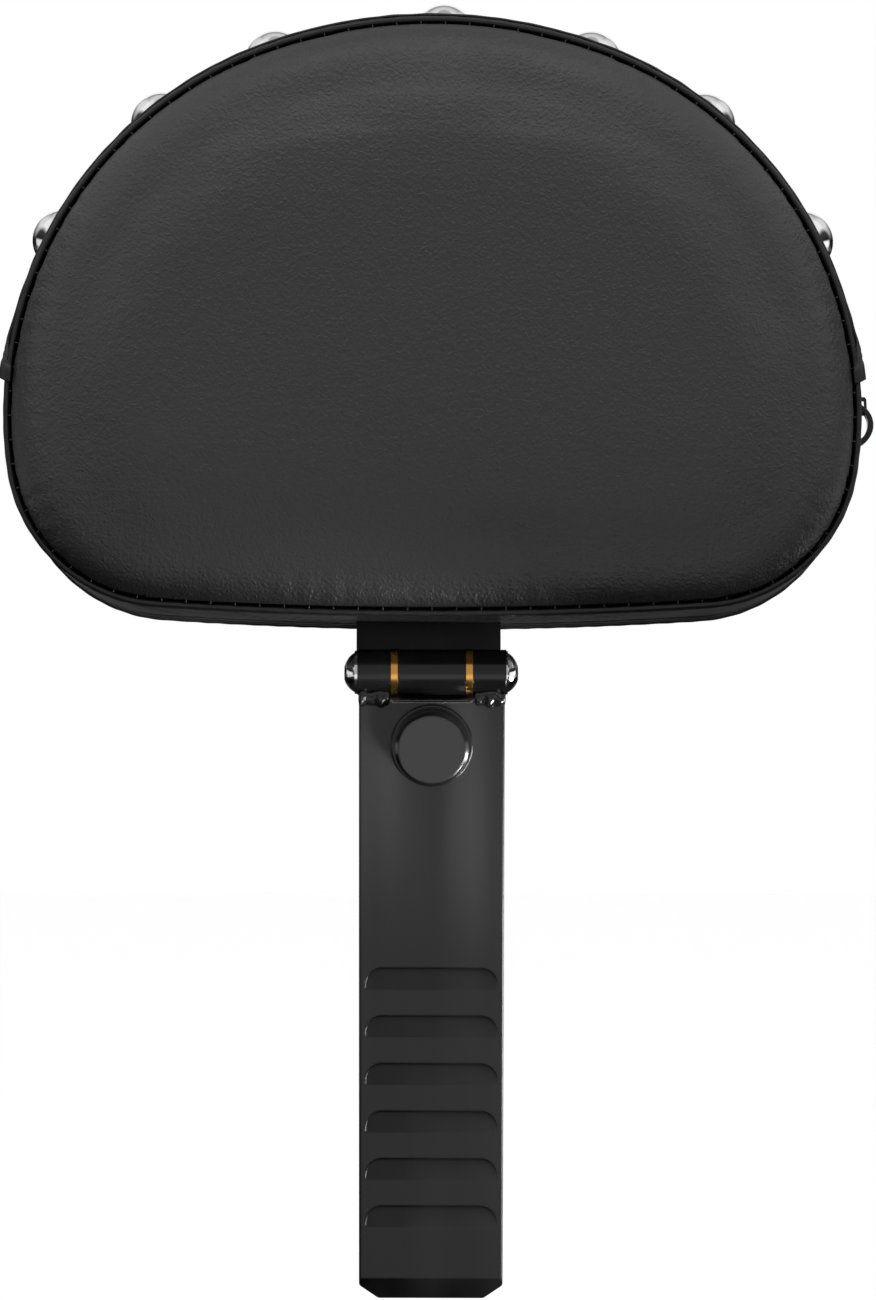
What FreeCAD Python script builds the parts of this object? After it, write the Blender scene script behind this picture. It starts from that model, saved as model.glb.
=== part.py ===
import FreeCAD, Part
import math
import os
import Sketcher

# A rider's plug-in backrest: a notched steel post, a three-knuckle hinge, and an upholstered pad.
# Millimetres. X across, Z up along the post, the rider's side towards -Y.
# The origin is the middle of the post's lower end. Most pad pieces are drawn in the pad's own frame,
# whose origin is the middle of the hinge, and are then leaned back together.

Vector = FreeCAD.Vector

SIZES = {
    # post
    "bar_width": 50.8,
    "bar_thick": 9.5,
    "bar_edge": 0.9,
    "hinge_height": 223.6,
    "tip_chamfer": 6.8,
    "tip_rise": 5.2,
    "tip_round": 2.0,
    "lead_length": 7.9,
    "lead_depth": 3.0,
    "relief_margin": 1.2,
    "relief_corner": 1.2,
    "relief_chamfer": 0.7,
    "weld_gap": 0.02,
    # ratchet notches
    "notch_first": 104.4,
    "notch_pitch": 17.1,
    "notch_height": 7.3,
    "notch_margin": 2.4,
    "notch_corner": 5.6,
    "notch_depth": 2.2,
    "notch_rim": 0.55,
    # hinge
    "knuckle_radius": 8.0,
    "knuckle_overhang": 0.5,
    "centre_knuckle": 23.7,
    "bronze_thick": 2.4,
    "bronze_proud": 0.3,
    "pin_radius": 6.0,
    "running_play": 0.05,
    "swing_gap": 0.9,
    "thread_radius": 4.0,
    "button_radius": 7.0,
    "button_height": 3.6,
    "socket_flat": 5.0,
    "socket_deep": 2.6,
    "screw_length": 14.0,
    "left_washer": 1.0,
    "right_washer": 0.5,
    "washer_radius": 7.6,
    # recline adjuster
    "knob_drop": 25.0,
    "knob_radius": 12.85,
    "knob_height": 8.6,
    "knob_bevel": 1.2,
    "ring_radius": 14.4,
    "ring_thick": 1.3,
    "ring_bevel": 0.4,
    "rest_gap": 0.2,
    "adjust_travel": 5.0,
    "foot_radius": 3.2,
    "foot_dome": 0.7,
    "stub_radius": 1.5,
    "stub_length": 4.0,
    # bracket
    "plate_inset": 0.15,
    "plate_thick": 6.0,
    "plate_shift": -1.2,
    "plate_top": 138.0,
    "plate_corner": 10.0,
    "neck_height": 5.0,
    "bend_radius": 4.0,
    "lever_length": 33.0,
    "lever_widening": 3.9,
    "plate_screw_x": 30.0,
    "plate_screw_low": 45.0,
    "plate_screw_pitch": 70.0,
    "plate_screw_radius": 3.0,
    "plate_screw_head": 6.0,
    "screw_play": 0.3,
    "tee_barrel": 4.0,
    "tee_flange": 9.0,
    "tee_plate": 1.4,
    # pad outline, measured at the front seam
    "recline": 12.0,
    "pad_lift": 19.5,
    "top_radius": 167.4,
    "top_angle": 20.7,
    "side_radius": 133.6,
    "side_angle": 78.0,
    "corner_radius": 53.0,
    "corner_angle": 77.5,
    # pad build-up
    "front_reach": 29.0,
    "crown_height": 16.5,
    "crown_span": 60.0,
    "cover_thick": 1.5,
    "board_thick": 12.0,
    "band_proud": 1.8,
    "band_thick": 1.5,
    "lay_gap": 0.3,
    "piping_radius": 1.1,
    "pouch_depth": 14.6,
    "pouch_crown": 8.0,
    # zipper
    "zip_thick": 0.7,
    "zip_left_end": 109.0,
    "zip_right_end": 70.0,
    "teeth_width": 3.0,
    "teeth_proud": 0.6,
    "slider_height": 94.4,
    "slider_length": 9.0,
    "slider_width": 7.0,
    "slider_thick": 2.0,
    "bail_reach": 3.2,
    "bail_bar": 0.9,
    "bail_width": 1.6,
    "pull_width": 5.0,
    "pull_thick": 1.9,
    "pull_drop": 14.5,
    "pull_bow": 2.2,
    "pull_pin": 0.6,
    # studded flap
    "flap_thick": 1.2,
    "flap_width": 42.0,
    "flap_end": 98.0,
    "flap_slant": 7.0,
    "stud_setback": 11.5,
    "stud_radius": 9.6,
    "stud_height": 5.6,
    "stud_shank": 1.5,
    "stud_angle_step": 19.4,
    "stud_angle_last": 62.2,
    "stud_angle_shift": 1.3,
}

NOTCHES = 6

doc = FreeCAD.newDocument("backrest")
sheet = doc.addObject("Spreadsheet::Sheet", "Sizes")
for row, (alias, number) in enumerate(SIZES.items(), start=1):
    sheet.set(f"A{row}", alias)
    sheet.set(f"B{row}", str(number))
    sheet.setAlias(f"B{row}", alias)
doc.recompute()


class Size:
    """A size as a number, together with the same size as a formula on the sheet."""

    def __init__(self, value, formula):
        self.value = value
        self.formula = formula

    def joined(self, other, sign, swap=False):
        right = other if isinstance(other, Size) else Size(float(other), repr(float(other)))
        first, second = (right, self) if swap else (self, right)
        results = {
            "+": first.value + second.value,
            "-": first.value - second.value,
            "*": first.value * second.value,
            "/": first.value / second.value if second.value else 0.0,
        }
        return Size(results[sign], f"({first.formula} {sign} {second.formula})")

    def __add__(self, other):
        return self.joined(other, "+")

    def __radd__(self, other):
        return self.joined(other, "+", swap=True)

    def __sub__(self, other):
        return self.joined(other, "-")

    def __rsub__(self, other):
        return self.joined(other, "-", swap=True)

    def __mul__(self, other):
        return self.joined(other, "*")

    def __rmul__(self, other):
        return self.joined(other, "*", swap=True)

    def __truediv__(self, other):
        return self.joined(other, "/")

    def __neg__(self):
        return 0.0 - self


def size(alias):
    return Size(float(SIZES[alias]), f"Sizes.{alias}")


def number(amount):
    return amount.value if isinstance(amount, Size) else float(amount)


def bind(thing, field, amount):
    """Give a field its size, as a formula where the size comes from the sheet."""
    if isinstance(amount, Size):
        thing.setExpression(field, amount.formula)
    else:
        setattr(thing, field, amount)


# Frames that the pieces are placed in

hinge_centre = Vector(0, 0, SIZES["hinge_height"])
POST_FRAME = FreeCAD.Placement()
PAD_FRAME = FreeCAD.Placement(hinge_centre, FreeCAD.Rotation(Vector(1, 0, 0), -SIZES["recline"]))
ALONG_X = FreeCAD.Rotation(Vector(0, 1, 0), 90)
ALONG_MINUS_X = FreeCAD.Rotation(Vector(0, 1, 0), -90)
ALONG_Y = FreeCAD.Rotation(Vector(1, 0, 0), -90)

NODES = []


def keep(piece, name, placement=POST_FRAME):
    """Name a finished sub-part, put it in its place and list it for writing."""
    piece.Label = name
    piece.Placement = placement
    NODES.append(piece)
    return piece


def new_body(name):
    return doc.addObject("PartDesign::Body", name + "_body")


def plane(body, role):
    return [item for item in body.Origin.OriginFeatures if item.Role == role][0]


def new_sketch(body, name, role, offset=0.0, tilt=0.0, rise=0.0):
    """A sketch on one of the body's own planes, moved along the plane's normal by the offset.
    The plane may also rise along its own second axis and tilt about its first."""
    sketch = body.newObject("Sketcher::SketchObject", name)
    sketch.AttachmentSupport = [(plane(body, role), "")]
    sketch.MapMode = "FlatFace"
    base = Vector(0, number(rise), number(offset))
    sketch.AttachmentOffset = FreeCAD.Placement(base, FreeCAD.Rotation(Vector(1, 0, 0), tilt))
    if isinstance(offset, Size):
        sketch.setExpression("AttachmentOffset.Base.z", offset.formula)
    if isinstance(rise, Size):
        sketch.setExpression("AttachmentOffset.Base.y", rise.formula)
    return sketch


def fix(sketch, kind, geometry, point, amount):
    """Hold one coordinate of a point at its size."""
    index = sketch.addConstraint(Sketcher.Constraint(kind, -1, 1, geometry, point, number(amount)))
    if isinstance(amount, Size):
        sketch.setExpression(f"Constraints[{index}]", amount.formula)


def add_loop(sketch, corners):
    """Add a closed outline of straight edges and arcs. A corner is (u, v), and an edge that is an arc
    has the point that it passes through as (u, v, mid u, mid v) at its far end."""
    first = sketch.GeometryCount
    count = len(corners)
    for step in range(count):
        start = corners[step]
        end = corners[(step + 1) % count]
        begin = Vector(number(start[0]), number(start[1]), 0)
        finish = Vector(number(end[0]), number(end[1]), 0)
        if len(end) == 4:
            middle = Vector(number(end[2]), number(end[3]), 0)
            sketch.addGeometry(Part.Arc(begin, middle, finish), False)
        else:
            sketch.addGeometry(Part.LineSegment(begin, finish), False)
    straight = all(len(corner) == 2 for corner in corners)
    if straight:
        for step in range(count):
            after = first + (step + 1) % count
            sketch.addConstraint(Sketcher.Constraint("Coincident", first + step, 2, after, 1))
            fix(sketch, "DistanceX", first + step, 1, corners[step][0])
            fix(sketch, "DistanceY", first + step, 1, corners[step][1])


def add_circle(sketch, centre, radius):
    index = sketch.addGeometry(
        Part.Circle(Vector(number(centre[0]), number(centre[1]), 0), Vector(0, 0, 1), number(radius)),
        False,
    )
    fix(sketch, "DistanceX", index, 3, centre[0])
    fix(sketch, "DistanceY", index, 3, centre[1])
    rule = sketch.addConstraint(Sketcher.Constraint("Radius", index, number(radius)))
    if isinstance(radius, Size):
        sketch.setExpression(f"Constraints[{rule}]", radius.formula)


def add_solid(body, name, sketch, length, middle=False, back=False):
    """Extrude a sketch: along its normal, against it, or half each way."""
    feature = body.newObject("PartDesign::Pad", name)
    feature.Profile = sketch
    bind(feature, "Length", length)
    feature.Midplane = middle
    feature.Reversed = back
    return feature


def cut(body, name, sketch, length=None, middle=False, back=False):
    """Cut a sketch out of the body, right through where no length is given."""
    feature = body.newObject("PartDesign::Pocket", name)
    feature.Profile = sketch
    if length is None:
        feature.Type = "ThroughAll"
    else:
        bind(feature, "Length", length)
    feature.Midplane = middle
    feature.Reversed = back
    return feature


def turned(name, corners):
    """A body turned about its own Z axis from a half section of (radius, height) corners."""
    body = new_body(name)
    sketch = new_sketch(body, name + "_section", "XZ_Plane")
    add_loop(sketch, corners)
    feature = body.newObject("PartDesign::Revolution", name + "_turn")
    feature.Profile = sketch
    feature.ReferenceAxis = (sketch, ["V_Axis"])
    feature.Angle = 360
    return body


def ring(name, inner, outer, low, high):
    """A turned tube or washer."""
    return turned(name, [(inner, low), (outer, low), (outer, high), (inner, high)])


def edges_between(base, wanted):
    """Names of the edges whose two ends pass the test."""
    names = []
    for index, edge in enumerate(base.Shape.Edges, start=1):
        ends = [vertex.Point for vertex in edge.Vertexes]
        if len(ends) == 2 and wanted(ends[0], ends[1]):
            names.append(f"Edge{index}")
    return names


def round_edges(body, name, base, radius, wanted):
    """Round the straight edges of the base feature whose two ends pass the test."""
    doc.recompute()
    feature = body.newObject("PartDesign::Fillet", name)
    feature.Base = (base, edges_between(base, wanted))
    bind(feature, "Radius", radius)
    return feature


def near(first, second, slack=0.01):
    return abs(first - second) < slack


def cap_rise(radius, height, share):
    """Height over the base of a spherical cap, at a share of its radius."""
    ball = (radius * radius + height * height) / (2 * height)
    return math.sqrt(ball * ball - (share * radius) ** 2) - (ball - height)


# Post and hinge

bar_width = size("bar_width")
bar_thick = size("bar_thick")
hinge_height = size("hinge_height")
knuckle_radius = size("knuckle_radius")
pin_radius = size("pin_radius")
running_play = size("running_play")
thread_radius = size("thread_radius")
centre_half = size("centre_knuckle") / 2
bronze_end = centre_half + size("bronze_thick")
hinge_end = bar_width / 2 + size("knuckle_overhang")
outer_knuckle = hinge_end - bronze_end
knob_height_on_post = hinge_height - size("knob_drop")


def make_post_bar():
    """The flat bar: chamfered and bevelled lower end, saddles under the outer knuckles, a relief under
    the centre knuckle, the adjuster's threaded hole, and the ratchet notches."""
    body = new_body("post_bar")
    half = bar_width / 2
    shoulder = hinge_height - knuckle_radius * 0.7
    relief = hinge_height - knuckle_radius - size("swing_gap") - size("bronze_proud")
    relief_half = bronze_end + size("relief_margin")
    outline = new_sketch(body, "post_outline", "XZ_Plane")
    add_loop(outline, [
        (-half, size("tip_rise")),
        (size("tip_chamfer") - half, 0.0),
        (half - size("tip_chamfer"), 0.0),
        (half, size("tip_rise")),
        (half, shoulder),
        (relief_half, shoulder),
        (relief_half, relief + size("relief_corner")),
        (relief_half - size("relief_corner"), relief),
        (-relief_half + size("relief_corner"), relief),
        (-relief_half, relief + size("relief_corner")),
        (-relief_half, shoulder),
        (-half, shoulder),
    ])
    bar = add_solid(body, "post_bar_solid", outline, bar_thick, middle=True)

    def tip_corner(first, second):
        low = first.z < SIZES["tip_rise"] + 0.01
        return low and near(first.z, second.z) and near(first.x, second.x)

    corners = round_edges(body, "post_tip_corners", bar, size("tip_round"), tip_corner)

    def long_edge(first, second):
        side = near(abs(first.x), half.value) and near(first.x, second.x)
        return side and near(first.y, second.y) and abs(first.z - second.z) > hinge_height.value / 2

    edges = round_edges(body, "post_long_edges", corners, size("bar_edge"), long_edge)

    def relief_edge(first, second):
        level = near(first.z, relief.value) and near(second.z, relief.value)
        return level and near(first.y, -bar_thick.value / 2) and near(second.y, first.y)

    doc.recompute()
    chamfer = body.newObject("PartDesign::Chamfer", "relief_chamfer")
    chamfer.Base = (edges, edges_between(edges, relief_edge))
    bind(chamfer, "Size", size("relief_chamfer"))

    lead = new_sketch(body, "post_lead", "YZ_Plane")
    side = bar_thick / 2
    for sign in (-1.0, 1.0):
        add_loop(lead, [
            (side * sign, size("lead_length")),
            ((side - size("lead_depth")) * sign, 0.0),
            ((side - size("lead_depth")) * sign, -1.0),
            ((side + 1.0) * sign, -1.0),
            ((side + 1.0) * sign, size("lead_length")),
        ])
    cut(body, "post_lead_cut", lead, middle=True)

    saddle = new_sketch(body, "post_saddle", "YZ_Plane")
    add_circle(saddle, (0.0, hinge_height), knuckle_radius + size("weld_gap"))
    cut(body, "post_saddle_cut", saddle, middle=True)

    hole = new_sketch(body, "adjuster_hole", "XZ_Plane")
    add_circle(hole, (0.0, knob_height_on_post), thread_radius + running_play)
    cut(body, "adjuster_hole_cut", hole, middle=True)

    foot = hinge_height - size("notch_first") - size("notch_height")
    notch = cut_ramp(body, "notch", foot, SIZES["notch_depth"])
    notch.UseCustomVector = True
    notch.Direction = Vector(0, 1, 0)
    rim = cut_ramp(body, "notch_rim", foot, SIZES["notch_rim"])
    rim.TaperAngle = 45
    rows = body.newObject("PartDesign::LinearPattern", "notch_rows")
    rows.Originals = [notch, rim]
    rows.Direction = (plane(body, "Z_Axis"), [""])
    rows.Reversed = True
    rows.Occurrences = NOTCHES
    bind(rows, "Length", size("notch_pitch") * float(NOTCHES - 1))
    body.Tip = rows
    keep(body, "post_bar")


def cut_ramp(body, name, foot, depth):
    """Cut a ramp into the bar's front: no depth at its foot, the given depth at its square top, and
    round corners up there. The sketch lies on the ramp's floor."""
    height = SIZES["notch_height"]
    slope = math.atan2(depth, height)
    floor_length = math.hypot(depth, height)
    lean = -math.degrees(slope)
    floor = new_sketch(body, name + "_floor", "XZ_Plane", offset=bar_thick / 2, tilt=lean, rise=foot)
    reach = SIZES["bar_width"] / 2 - SIZES["notch_margin"]
    corner = SIZES["notch_corner"]
    diagonal = corner * (1 - math.sqrt(0.5))
    overrun = SIZES["notch_depth"]
    add_loop(floor, [
        (-reach, -overrun),
        (reach, -overrun),
        (reach, floor_length - corner),
        (reach - corner, floor_length, reach - diagonal, floor_length - diagonal),
        (corner - reach, floor_length),
        (-reach, floor_length - corner, diagonal - reach, floor_length - diagonal),
    ])
    return cut(body, name, floor, length=size("notch_depth") * 2, back=True)


def make_button_screw(name, place):
    """A button-head screw: its head's underside at its own origin, its shank down -Z."""
    radius = SIZES["button_radius"]
    height = SIZES["button_height"]
    flat = radius * 0.38
    middle = radius * 0.72
    body = turned(name, [
        (0.0, -size("screw_length")),
        (thread_radius, -size("screw_length")),
        (thread_radius, 0.0),
        (size("button_radius"), 0.0),
        (flat, height, middle, cap_rise(radius, height * 1.16, 0.72)),
        (0.0, height),
    ])
    socket = new_sketch(body, name + "_socket", "XY_Plane", offset=size("button_height"))
    across = size("socket_flat") / math.sqrt(3)
    points = []
    for step in range(6):
        turn = math.radians(60 * step)
        points.append((across * math.cos(turn), across * math.sin(turn)))
    add_loop(socket, points)
    cut(body, name + "_socket_cut", socket, length=size("socket_deep"))
    keep(body, name, place)


def make_hinge():
    """Outer knuckles, pin, end screws and washers, and the bronze washers, all about one axis."""
    bore = pin_radius + running_play
    for name, start in (("left_knuckle", -hinge_end.value), ("right_knuckle", bronze_end.value)):
        tube = ring(name, bore, knuckle_radius, 0.0, outer_knuckle)
        keep(tube, name, FreeCAD.Placement(hinge_centre + Vector(start, 0, 0), ALONG_X))
    centre = ring("centre_knuckle", bore, knuckle_radius, 0.0, size("centre_knuckle"))
    left_face = hinge_centre + Vector(-centre_half.value, 0, 0)
    keep(centre, "centre_knuckle", FreeCAD.Placement(left_face, ALONG_X))

    slack = 0.04
    for side, start in (("left", -bronze_end.value), ("right", centre_half.value)):
        name = side + "_bronze_washer"
        washer = ring(name, bore, knuckle_radius + size("bronze_proud"), slack, size("bronze_thick") - slack)
        keep(washer, name, FreeCAD.Placement(hinge_centre + Vector(start, 0, 0), ALONG_X))

    tapped = thread_radius + running_play
    depth = size("screw_length") + 2.0
    pin = turned("hinge_pin", [
        (0.0, depth - hinge_end),
        (tapped, depth - hinge_end),
        (tapped, -hinge_end),
        (pin_radius, -hinge_end),
        (pin_radius, hinge_end),
        (tapped, hinge_end),
        (tapped, hinge_end - depth),
        (0.0, hinge_end - depth),
    ])
    keep(pin, "hinge_pin", FreeCAD.Placement(hinge_centre, ALONG_X))

    for side, turn, sign in (("left", ALONG_MINUS_X, -1), ("right", ALONG_X, 1)):
        thick = SIZES[side + "_washer"]
        seat = hinge_centre + Vector(sign * hinge_end.value, 0, 0)
        washer = ring(side + "_hinge_washer", tapped, size("washer_radius"), 0.0, size(side + "_washer"))
        keep(washer, side + "_hinge_washer", FreeCAD.Placement(seat, turn))
        head = seat + Vector(sign * thick, 0, 0)
        make_button_screw(side + "_hinge_screw", FreeCAD.Placement(head, turn))


# Recline adjuster: everything is turned about the screw's axis, with +Z of the piece along +Y

screw_end = bar_thick / 2 + size("rest_gap")
foot_reach = screw_end + size("adjust_travel") + size("foot_dome")


def make_adjuster():
    axis = FreeCAD.Placement(Vector(0, 0, knob_height_on_post.value), ALONG_Y)
    ring_back = bar_thick / 2
    ring_front = ring_back + size("ring_thick")
    seat = turned("knob_seat_ring", [
        (thread_radius + 0.5, -ring_front),
        (size("ring_radius") - size("ring_bevel"), -ring_front),
        (size("ring_radius"), size("ring_bevel") - ring_front),
        (size("ring_radius"), -ring_back),
        (thread_radius + 0.5, -ring_back),
    ])
    keep(seat, "knob_seat_ring", axis)

    knob_back = ring_front + size("rest_gap")
    knob_front = knob_back + size("knob_height")
    bevel = size("knob_bevel")
    collar = thread_radius + running_play
    radius = size("knob_radius")
    knob = turned("adjuster_knob", [
        (0.0, -knob_front),
        (radius - bevel, -knob_front),
        (radius, bevel - knob_front),
        (radius, -knob_back - 0.6),
        (radius - 0.6, -knob_back),
        (collar, -knob_back),
        (collar, 3.0 - knob_front),
        (0.0, 3.0 - knob_front),
    ])
    keep(knob, "adjuster_knob", axis)

    bore = size("stub_radius") + running_play
    screw = turned("adjuster_screw", [
        (0.0, 3.1 - knob_front),
        (thread_radius, 3.1 - knob_front),
        (thread_radius, screw_end - 0.6),
        (thread_radius - 0.6, screw_end),
        (bore, screw_end),
        (bore, screw_end - size("stub_length") - 0.2),
        (0.0, screw_end - size("stub_length") - 0.2),
    ])
    keep(screw, "adjuster_screw", axis)

    foot_back = screw_end + 0.1
    tip = foot_reach.value
    dome = SIZES["foot_dome"]
    wide = SIZES["foot_radius"]
    foot = turned("swivel_foot", [
        (0.0, screw_end - size("stub_length")),
        (size("stub_radius"), screw_end - size("stub_length")),
        (size("stub_radius"), foot_back),
        (size("foot_radius"), foot_back),
        (size("foot_radius"), foot_reach - size("foot_dome")),
        (0.0, foot_reach, wide * 0.5, tip - dome + cap_rise(wide, dome, 0.5)),
    ])
    keep(foot, "swivel_foot", axis)


# Bracket in the pad: a plate behind the board, and a lever that goes down behind the post

plate_front = knuckle_radius
plate_back = plate_front + size("plate_thick")
plate_width = bar_width - size("plate_inset") * 2.0
board_front = plate_front - size("board_thick")


def lever_tilt():
    """Angle between plate and lever, so that the lever's front face meets the adjuster's foot."""
    lean = math.radians(SIZES["recline"])
    face = foot_reach.value + SIZES["rest_gap"]
    drop = -SIZES["knob_drop"]
    depth = face * math.cos(lean) - drop * math.sin(lean)
    height = face * math.sin(lean) + drop * math.cos(lean)
    return math.atan2(depth - plate_front.value, -height)


def make_upper_bracket():
    tilt = lever_tilt()
    thick = SIZES["plate_thick"]
    length = SIZES["lever_length"]
    front = plate_front.value
    back = front + thick
    top = size("plate_top")
    inner_corner = thick * math.tan(tilt / 2)
    along = (math.sin(tilt), -math.cos(tilt))
    across = (math.cos(tilt), math.sin(tilt))
    toe_front = (front + length * along[0], length * along[1])
    toe_back = (toe_front[0] + thick * across[0], toe_front[1] + thick * across[1])
    body = new_body("upper_bracket")
    profile = new_sketch(body, "bracket_profile", "YZ_Plane", offset=size("plate_shift"))
    add_loop(profile, [
        (plate_front, top),
        (plate_front, 0.0),
        toe_front,
        toe_back,
        (back, inner_corner),
        (plate_back, top),
    ])
    sheet_metal = add_solid(body, "bracket_sheet", profile, plate_width, middle=True)

    def outer_bend(first, second):
        return near(first.z, 0) and near(second.z, 0) and near(first.y, front) and near(second.y, front)

    def inner_bend(first, second):
        return near(first.z, inner_corner) and near(second.z, inner_corner) and near(first.y, back)

    outer_radius = size("bend_radius") + size("plate_thick")
    outer = round_edges(body, "bracket_outer_bend", sheet_metal, outer_radius, outer_bend)
    inner = round_edges(body, "bracket_inner_bend", outer, size("bend_radius"), inner_bend)

    def top_corner(first, second):
        return near(first.z, top.value) and near(second.z, top.value) and near(first.x, second.x)

    round_edges(body, "bracket_top_corners", inner, size("plate_corner"), top_corner)

    sides = new_sketch(body, "bracket_sides", "XZ_Plane")
    outside = plate_width
    clear = -knuckle_radius - size("swing_gap")
    paddle = centre_half + size("lever_widening")
    for sign in (-1.0, 1.0):
        add_loop(sides, [
            (centre_half * sign, size("neck_height")),
            (centre_half * sign, clear),
            (paddle * sign, clear),
            (paddle * sign, -size("lever_length") * 2.0),
            (outside * sign, -size("lever_length") * 2.0),
            (outside * sign, size("neck_height")),
        ])
    neck = cut(body, "bracket_neck", sides, middle=True)

    def neck_corner(first, second):
        level = near(first.z, SIZES["neck_height"]) and near(second.z, SIZES["neck_height"])
        return level and near(first.x, second.x) and near(abs(first.x), centre_half.value)

    round_edges(body, "bracket_neck_corners", neck, size("bend_radius") * 0.4, neck_corner)

    for count, (across_x, up) in enumerate(plate_holes(), start=1):
        hole = body.newObject("PartDesign::SubtractiveCylinder", f"plate_hole_{count}")
        bind(hole, "Radius", size("plate_screw_radius") + size("screw_play"))
        bind(hole, "Height", size("plate_thick") + 2.0)
        hole.Placement = FreeCAD.Placement(Vector(across_x, front - 1.0, up), ALONG_Y)
        sink = body.newObject("PartDesign::SubtractiveCone", f"plate_sink_{count}")
        bind(sink, "Radius1", size("plate_screw_radius") + size("screw_play"))
        bind(sink, "Radius2", size("plate_screw_head") + size("screw_play"))
        bind(sink, "Height", size("plate_screw_head") - size("plate_screw_radius"))
        deep = SIZES["plate_screw_head"] - SIZES["plate_screw_radius"]
        sink.Placement = FreeCAD.Placement(Vector(across_x, back - deep, up), ALONG_Y)
    keep(body, "upper_bracket", PAD_FRAME)


def plate_holes():
    """Screw places on the plate, as (x, z) in the pad's frame."""
    half = SIZES["plate_screw_x"] / 2
    low = SIZES["plate_screw_low"]
    places = []
    for up in (low, low + SIZES["plate_screw_pitch"]):
        for side in (-half, half):
            places.append((SIZES["plate_shift"] + side, up))
    return places


def make_plate_fasteners():
    """Countersunk screws from the plate's back into flanged nuts let into the board's front."""
    radius = size("plate_screw_radius")
    head = size("plate_screw_head")
    shank = plate_back - board_front - 0.5
    barrel = size("board_thick") - 1.0
    for count, (across_x, up) in enumerate(plate_holes(), start=1):
        screw = turned(f"bracket_screw_{count}", [
            (0.0, -shank),
            (radius, -shank),
            (radius, radius - head),
            (head, 0.0),
            (size("socket_flat") * 0.4, 0.0),
            (size("socket_flat") * 0.4, -size("socket_deep") * 0.8),
            (0.0, -size("socket_deep") * 0.8),
        ])
        place = FreeCAD.Placement(Vector(across_x, plate_back.value, up), ALONG_Y)
        keep(screw, f"bracket_screw_{count}", PAD_FRAME.multiply(place))
        nut = turned(f"tee_nut_{count}", [
            (radius + running_play, 0.0),
            (size("tee_flange"), 0.0),
            (size("tee_flange"), size("tee_plate")),
            (size("tee_barrel"), size("tee_plate")),
            (size("tee_barrel"), barrel),
            (radius + running_play, barrel),
        ])
        place = FreeCAD.Placement(Vector(across_x, board_front.value, up), ALONG_Y)
        keep(nut, f"tee_nut_{count}", PAD_FRAME.multiply(place))


# Pad outline: tangent arcs for the top, side and lower corner, and a flat arc that closes the bottom


def outline_arcs():
    """Arcs of the right half at the front seam, from the top's middle to the bottom's middle, as
    (centre x, centre z, radius, start heading, end heading). A heading is measured from straight up."""
    arcs = []
    heading = 0.0
    x = 0.0
    z = 0.0
    for radius_name, sweep_name in (
        ("top_radius", "top_angle"),
        ("side_radius", "side_angle"),
        ("corner_radius", "corner_angle"),
    ):
        radius = SIZES[radius_name]
        turn = math.radians(SIZES[sweep_name])
        centre = (x - radius * math.sin(heading), z - radius * math.cos(heading))
        arcs.append((centre[0], centre[1], radius, heading, heading + turn))
        heading += turn
        x = centre[0] + radius * math.sin(heading)
        z = centre[1] + radius * math.cos(heading)
    radius = x / math.sin(heading)
    centre_z = z - radius * math.cos(heading)
    arcs.append((0.0, centre_z, radius, heading, math.pi))
    rise = SIZES["pad_lift"] - (centre_z - radius)
    return [(cx, cz + rise, r, start, end) for cx, cz, r, start, end in arcs]


ARCS = outline_arcs()
SEAM_TOP = ARCS[0][1] + ARCS[0][2]
PAST = (ARCS[1][0] + ARCS[1][2]) * 1.1


def outline_point(heading, grow):
    """Point of the outline, grown outwards, where its outward normal has this heading."""
    sign = 1 if heading >= 0 else -1
    turn = abs(heading)
    for cx, cz, radius, start, end in ARCS:
        if start <= turn <= end:
            x = cx + (radius + grow) * math.sin(turn)
            return sign * x, cz + (radius + grow) * math.cos(turn)
    raise ValueError("heading outside the outline")


def side_heading(height):
    """Heading of the outline where its right side is at this height over the hinge."""
    for cx, cz, radius, start, end in ARCS[1:3]:
        share = (height - cz) / radius
        if abs(share) <= 1 and start <= math.acos(share) <= end:
            return math.acos(share)
    raise ValueError("height beyond the pad's side")


def add_outline(sketch, grow, shrink=1.0):
    """Add the outline to a sketch, grown outwards by a distance, and shrunk about its middle."""
    middle_z = (SEAM_TOP + SIZES["pad_lift"]) / 2
    edges = []
    for cx, cz, radius, start, end in ARCS:
        edges.append((cx, cz, radius, math.pi / 2 - end, math.pi / 2 - start))
    for cx, cz, radius, start, end in reversed(ARCS):
        edges.append((-cx, cz, radius, math.pi / 2 + start, math.pi / 2 + end))
    for cx, cz, radius, low, high in edges:
        centre = Vector(cx * shrink, middle_z + (cz - middle_z) * shrink, 0)
        circle = Part.Circle(centre, Vector(0, 0, 1), (radius + grow) * shrink)
        sketch.addGeometry(Part.ArcOfCircle(circle, low, high), False)


def band(name, outer, inner, front, back):
    """A band that follows the outline, between two growths and two depths behind the hinge's plane."""
    body = new_body(name)
    sketch = new_sketch(body, name + "_outline", "XZ_Plane", offset=-front)
    add_outline(sketch, outer)
    if inner is not None:
        add_outline(sketch, inner)
    add_solid(body, name + "_band", sketch, back - front, back=True)
    return body


# Where a crowned panel's sections are taken, as shares of the way in to where its crown is almost flat
CROWN_STEPS = (0.0, 0.008, 0.03, 0.075, 0.15, 0.27, 0.45, 0.73)
CROWN_EDGE = 0.955


def crown_share(step):
    """Share of a crown's height at a step in from its seam: steep at first, then almost flat."""
    return CROWN_EDGE * math.sqrt(1 - (1 - step) ** 3)


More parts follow.
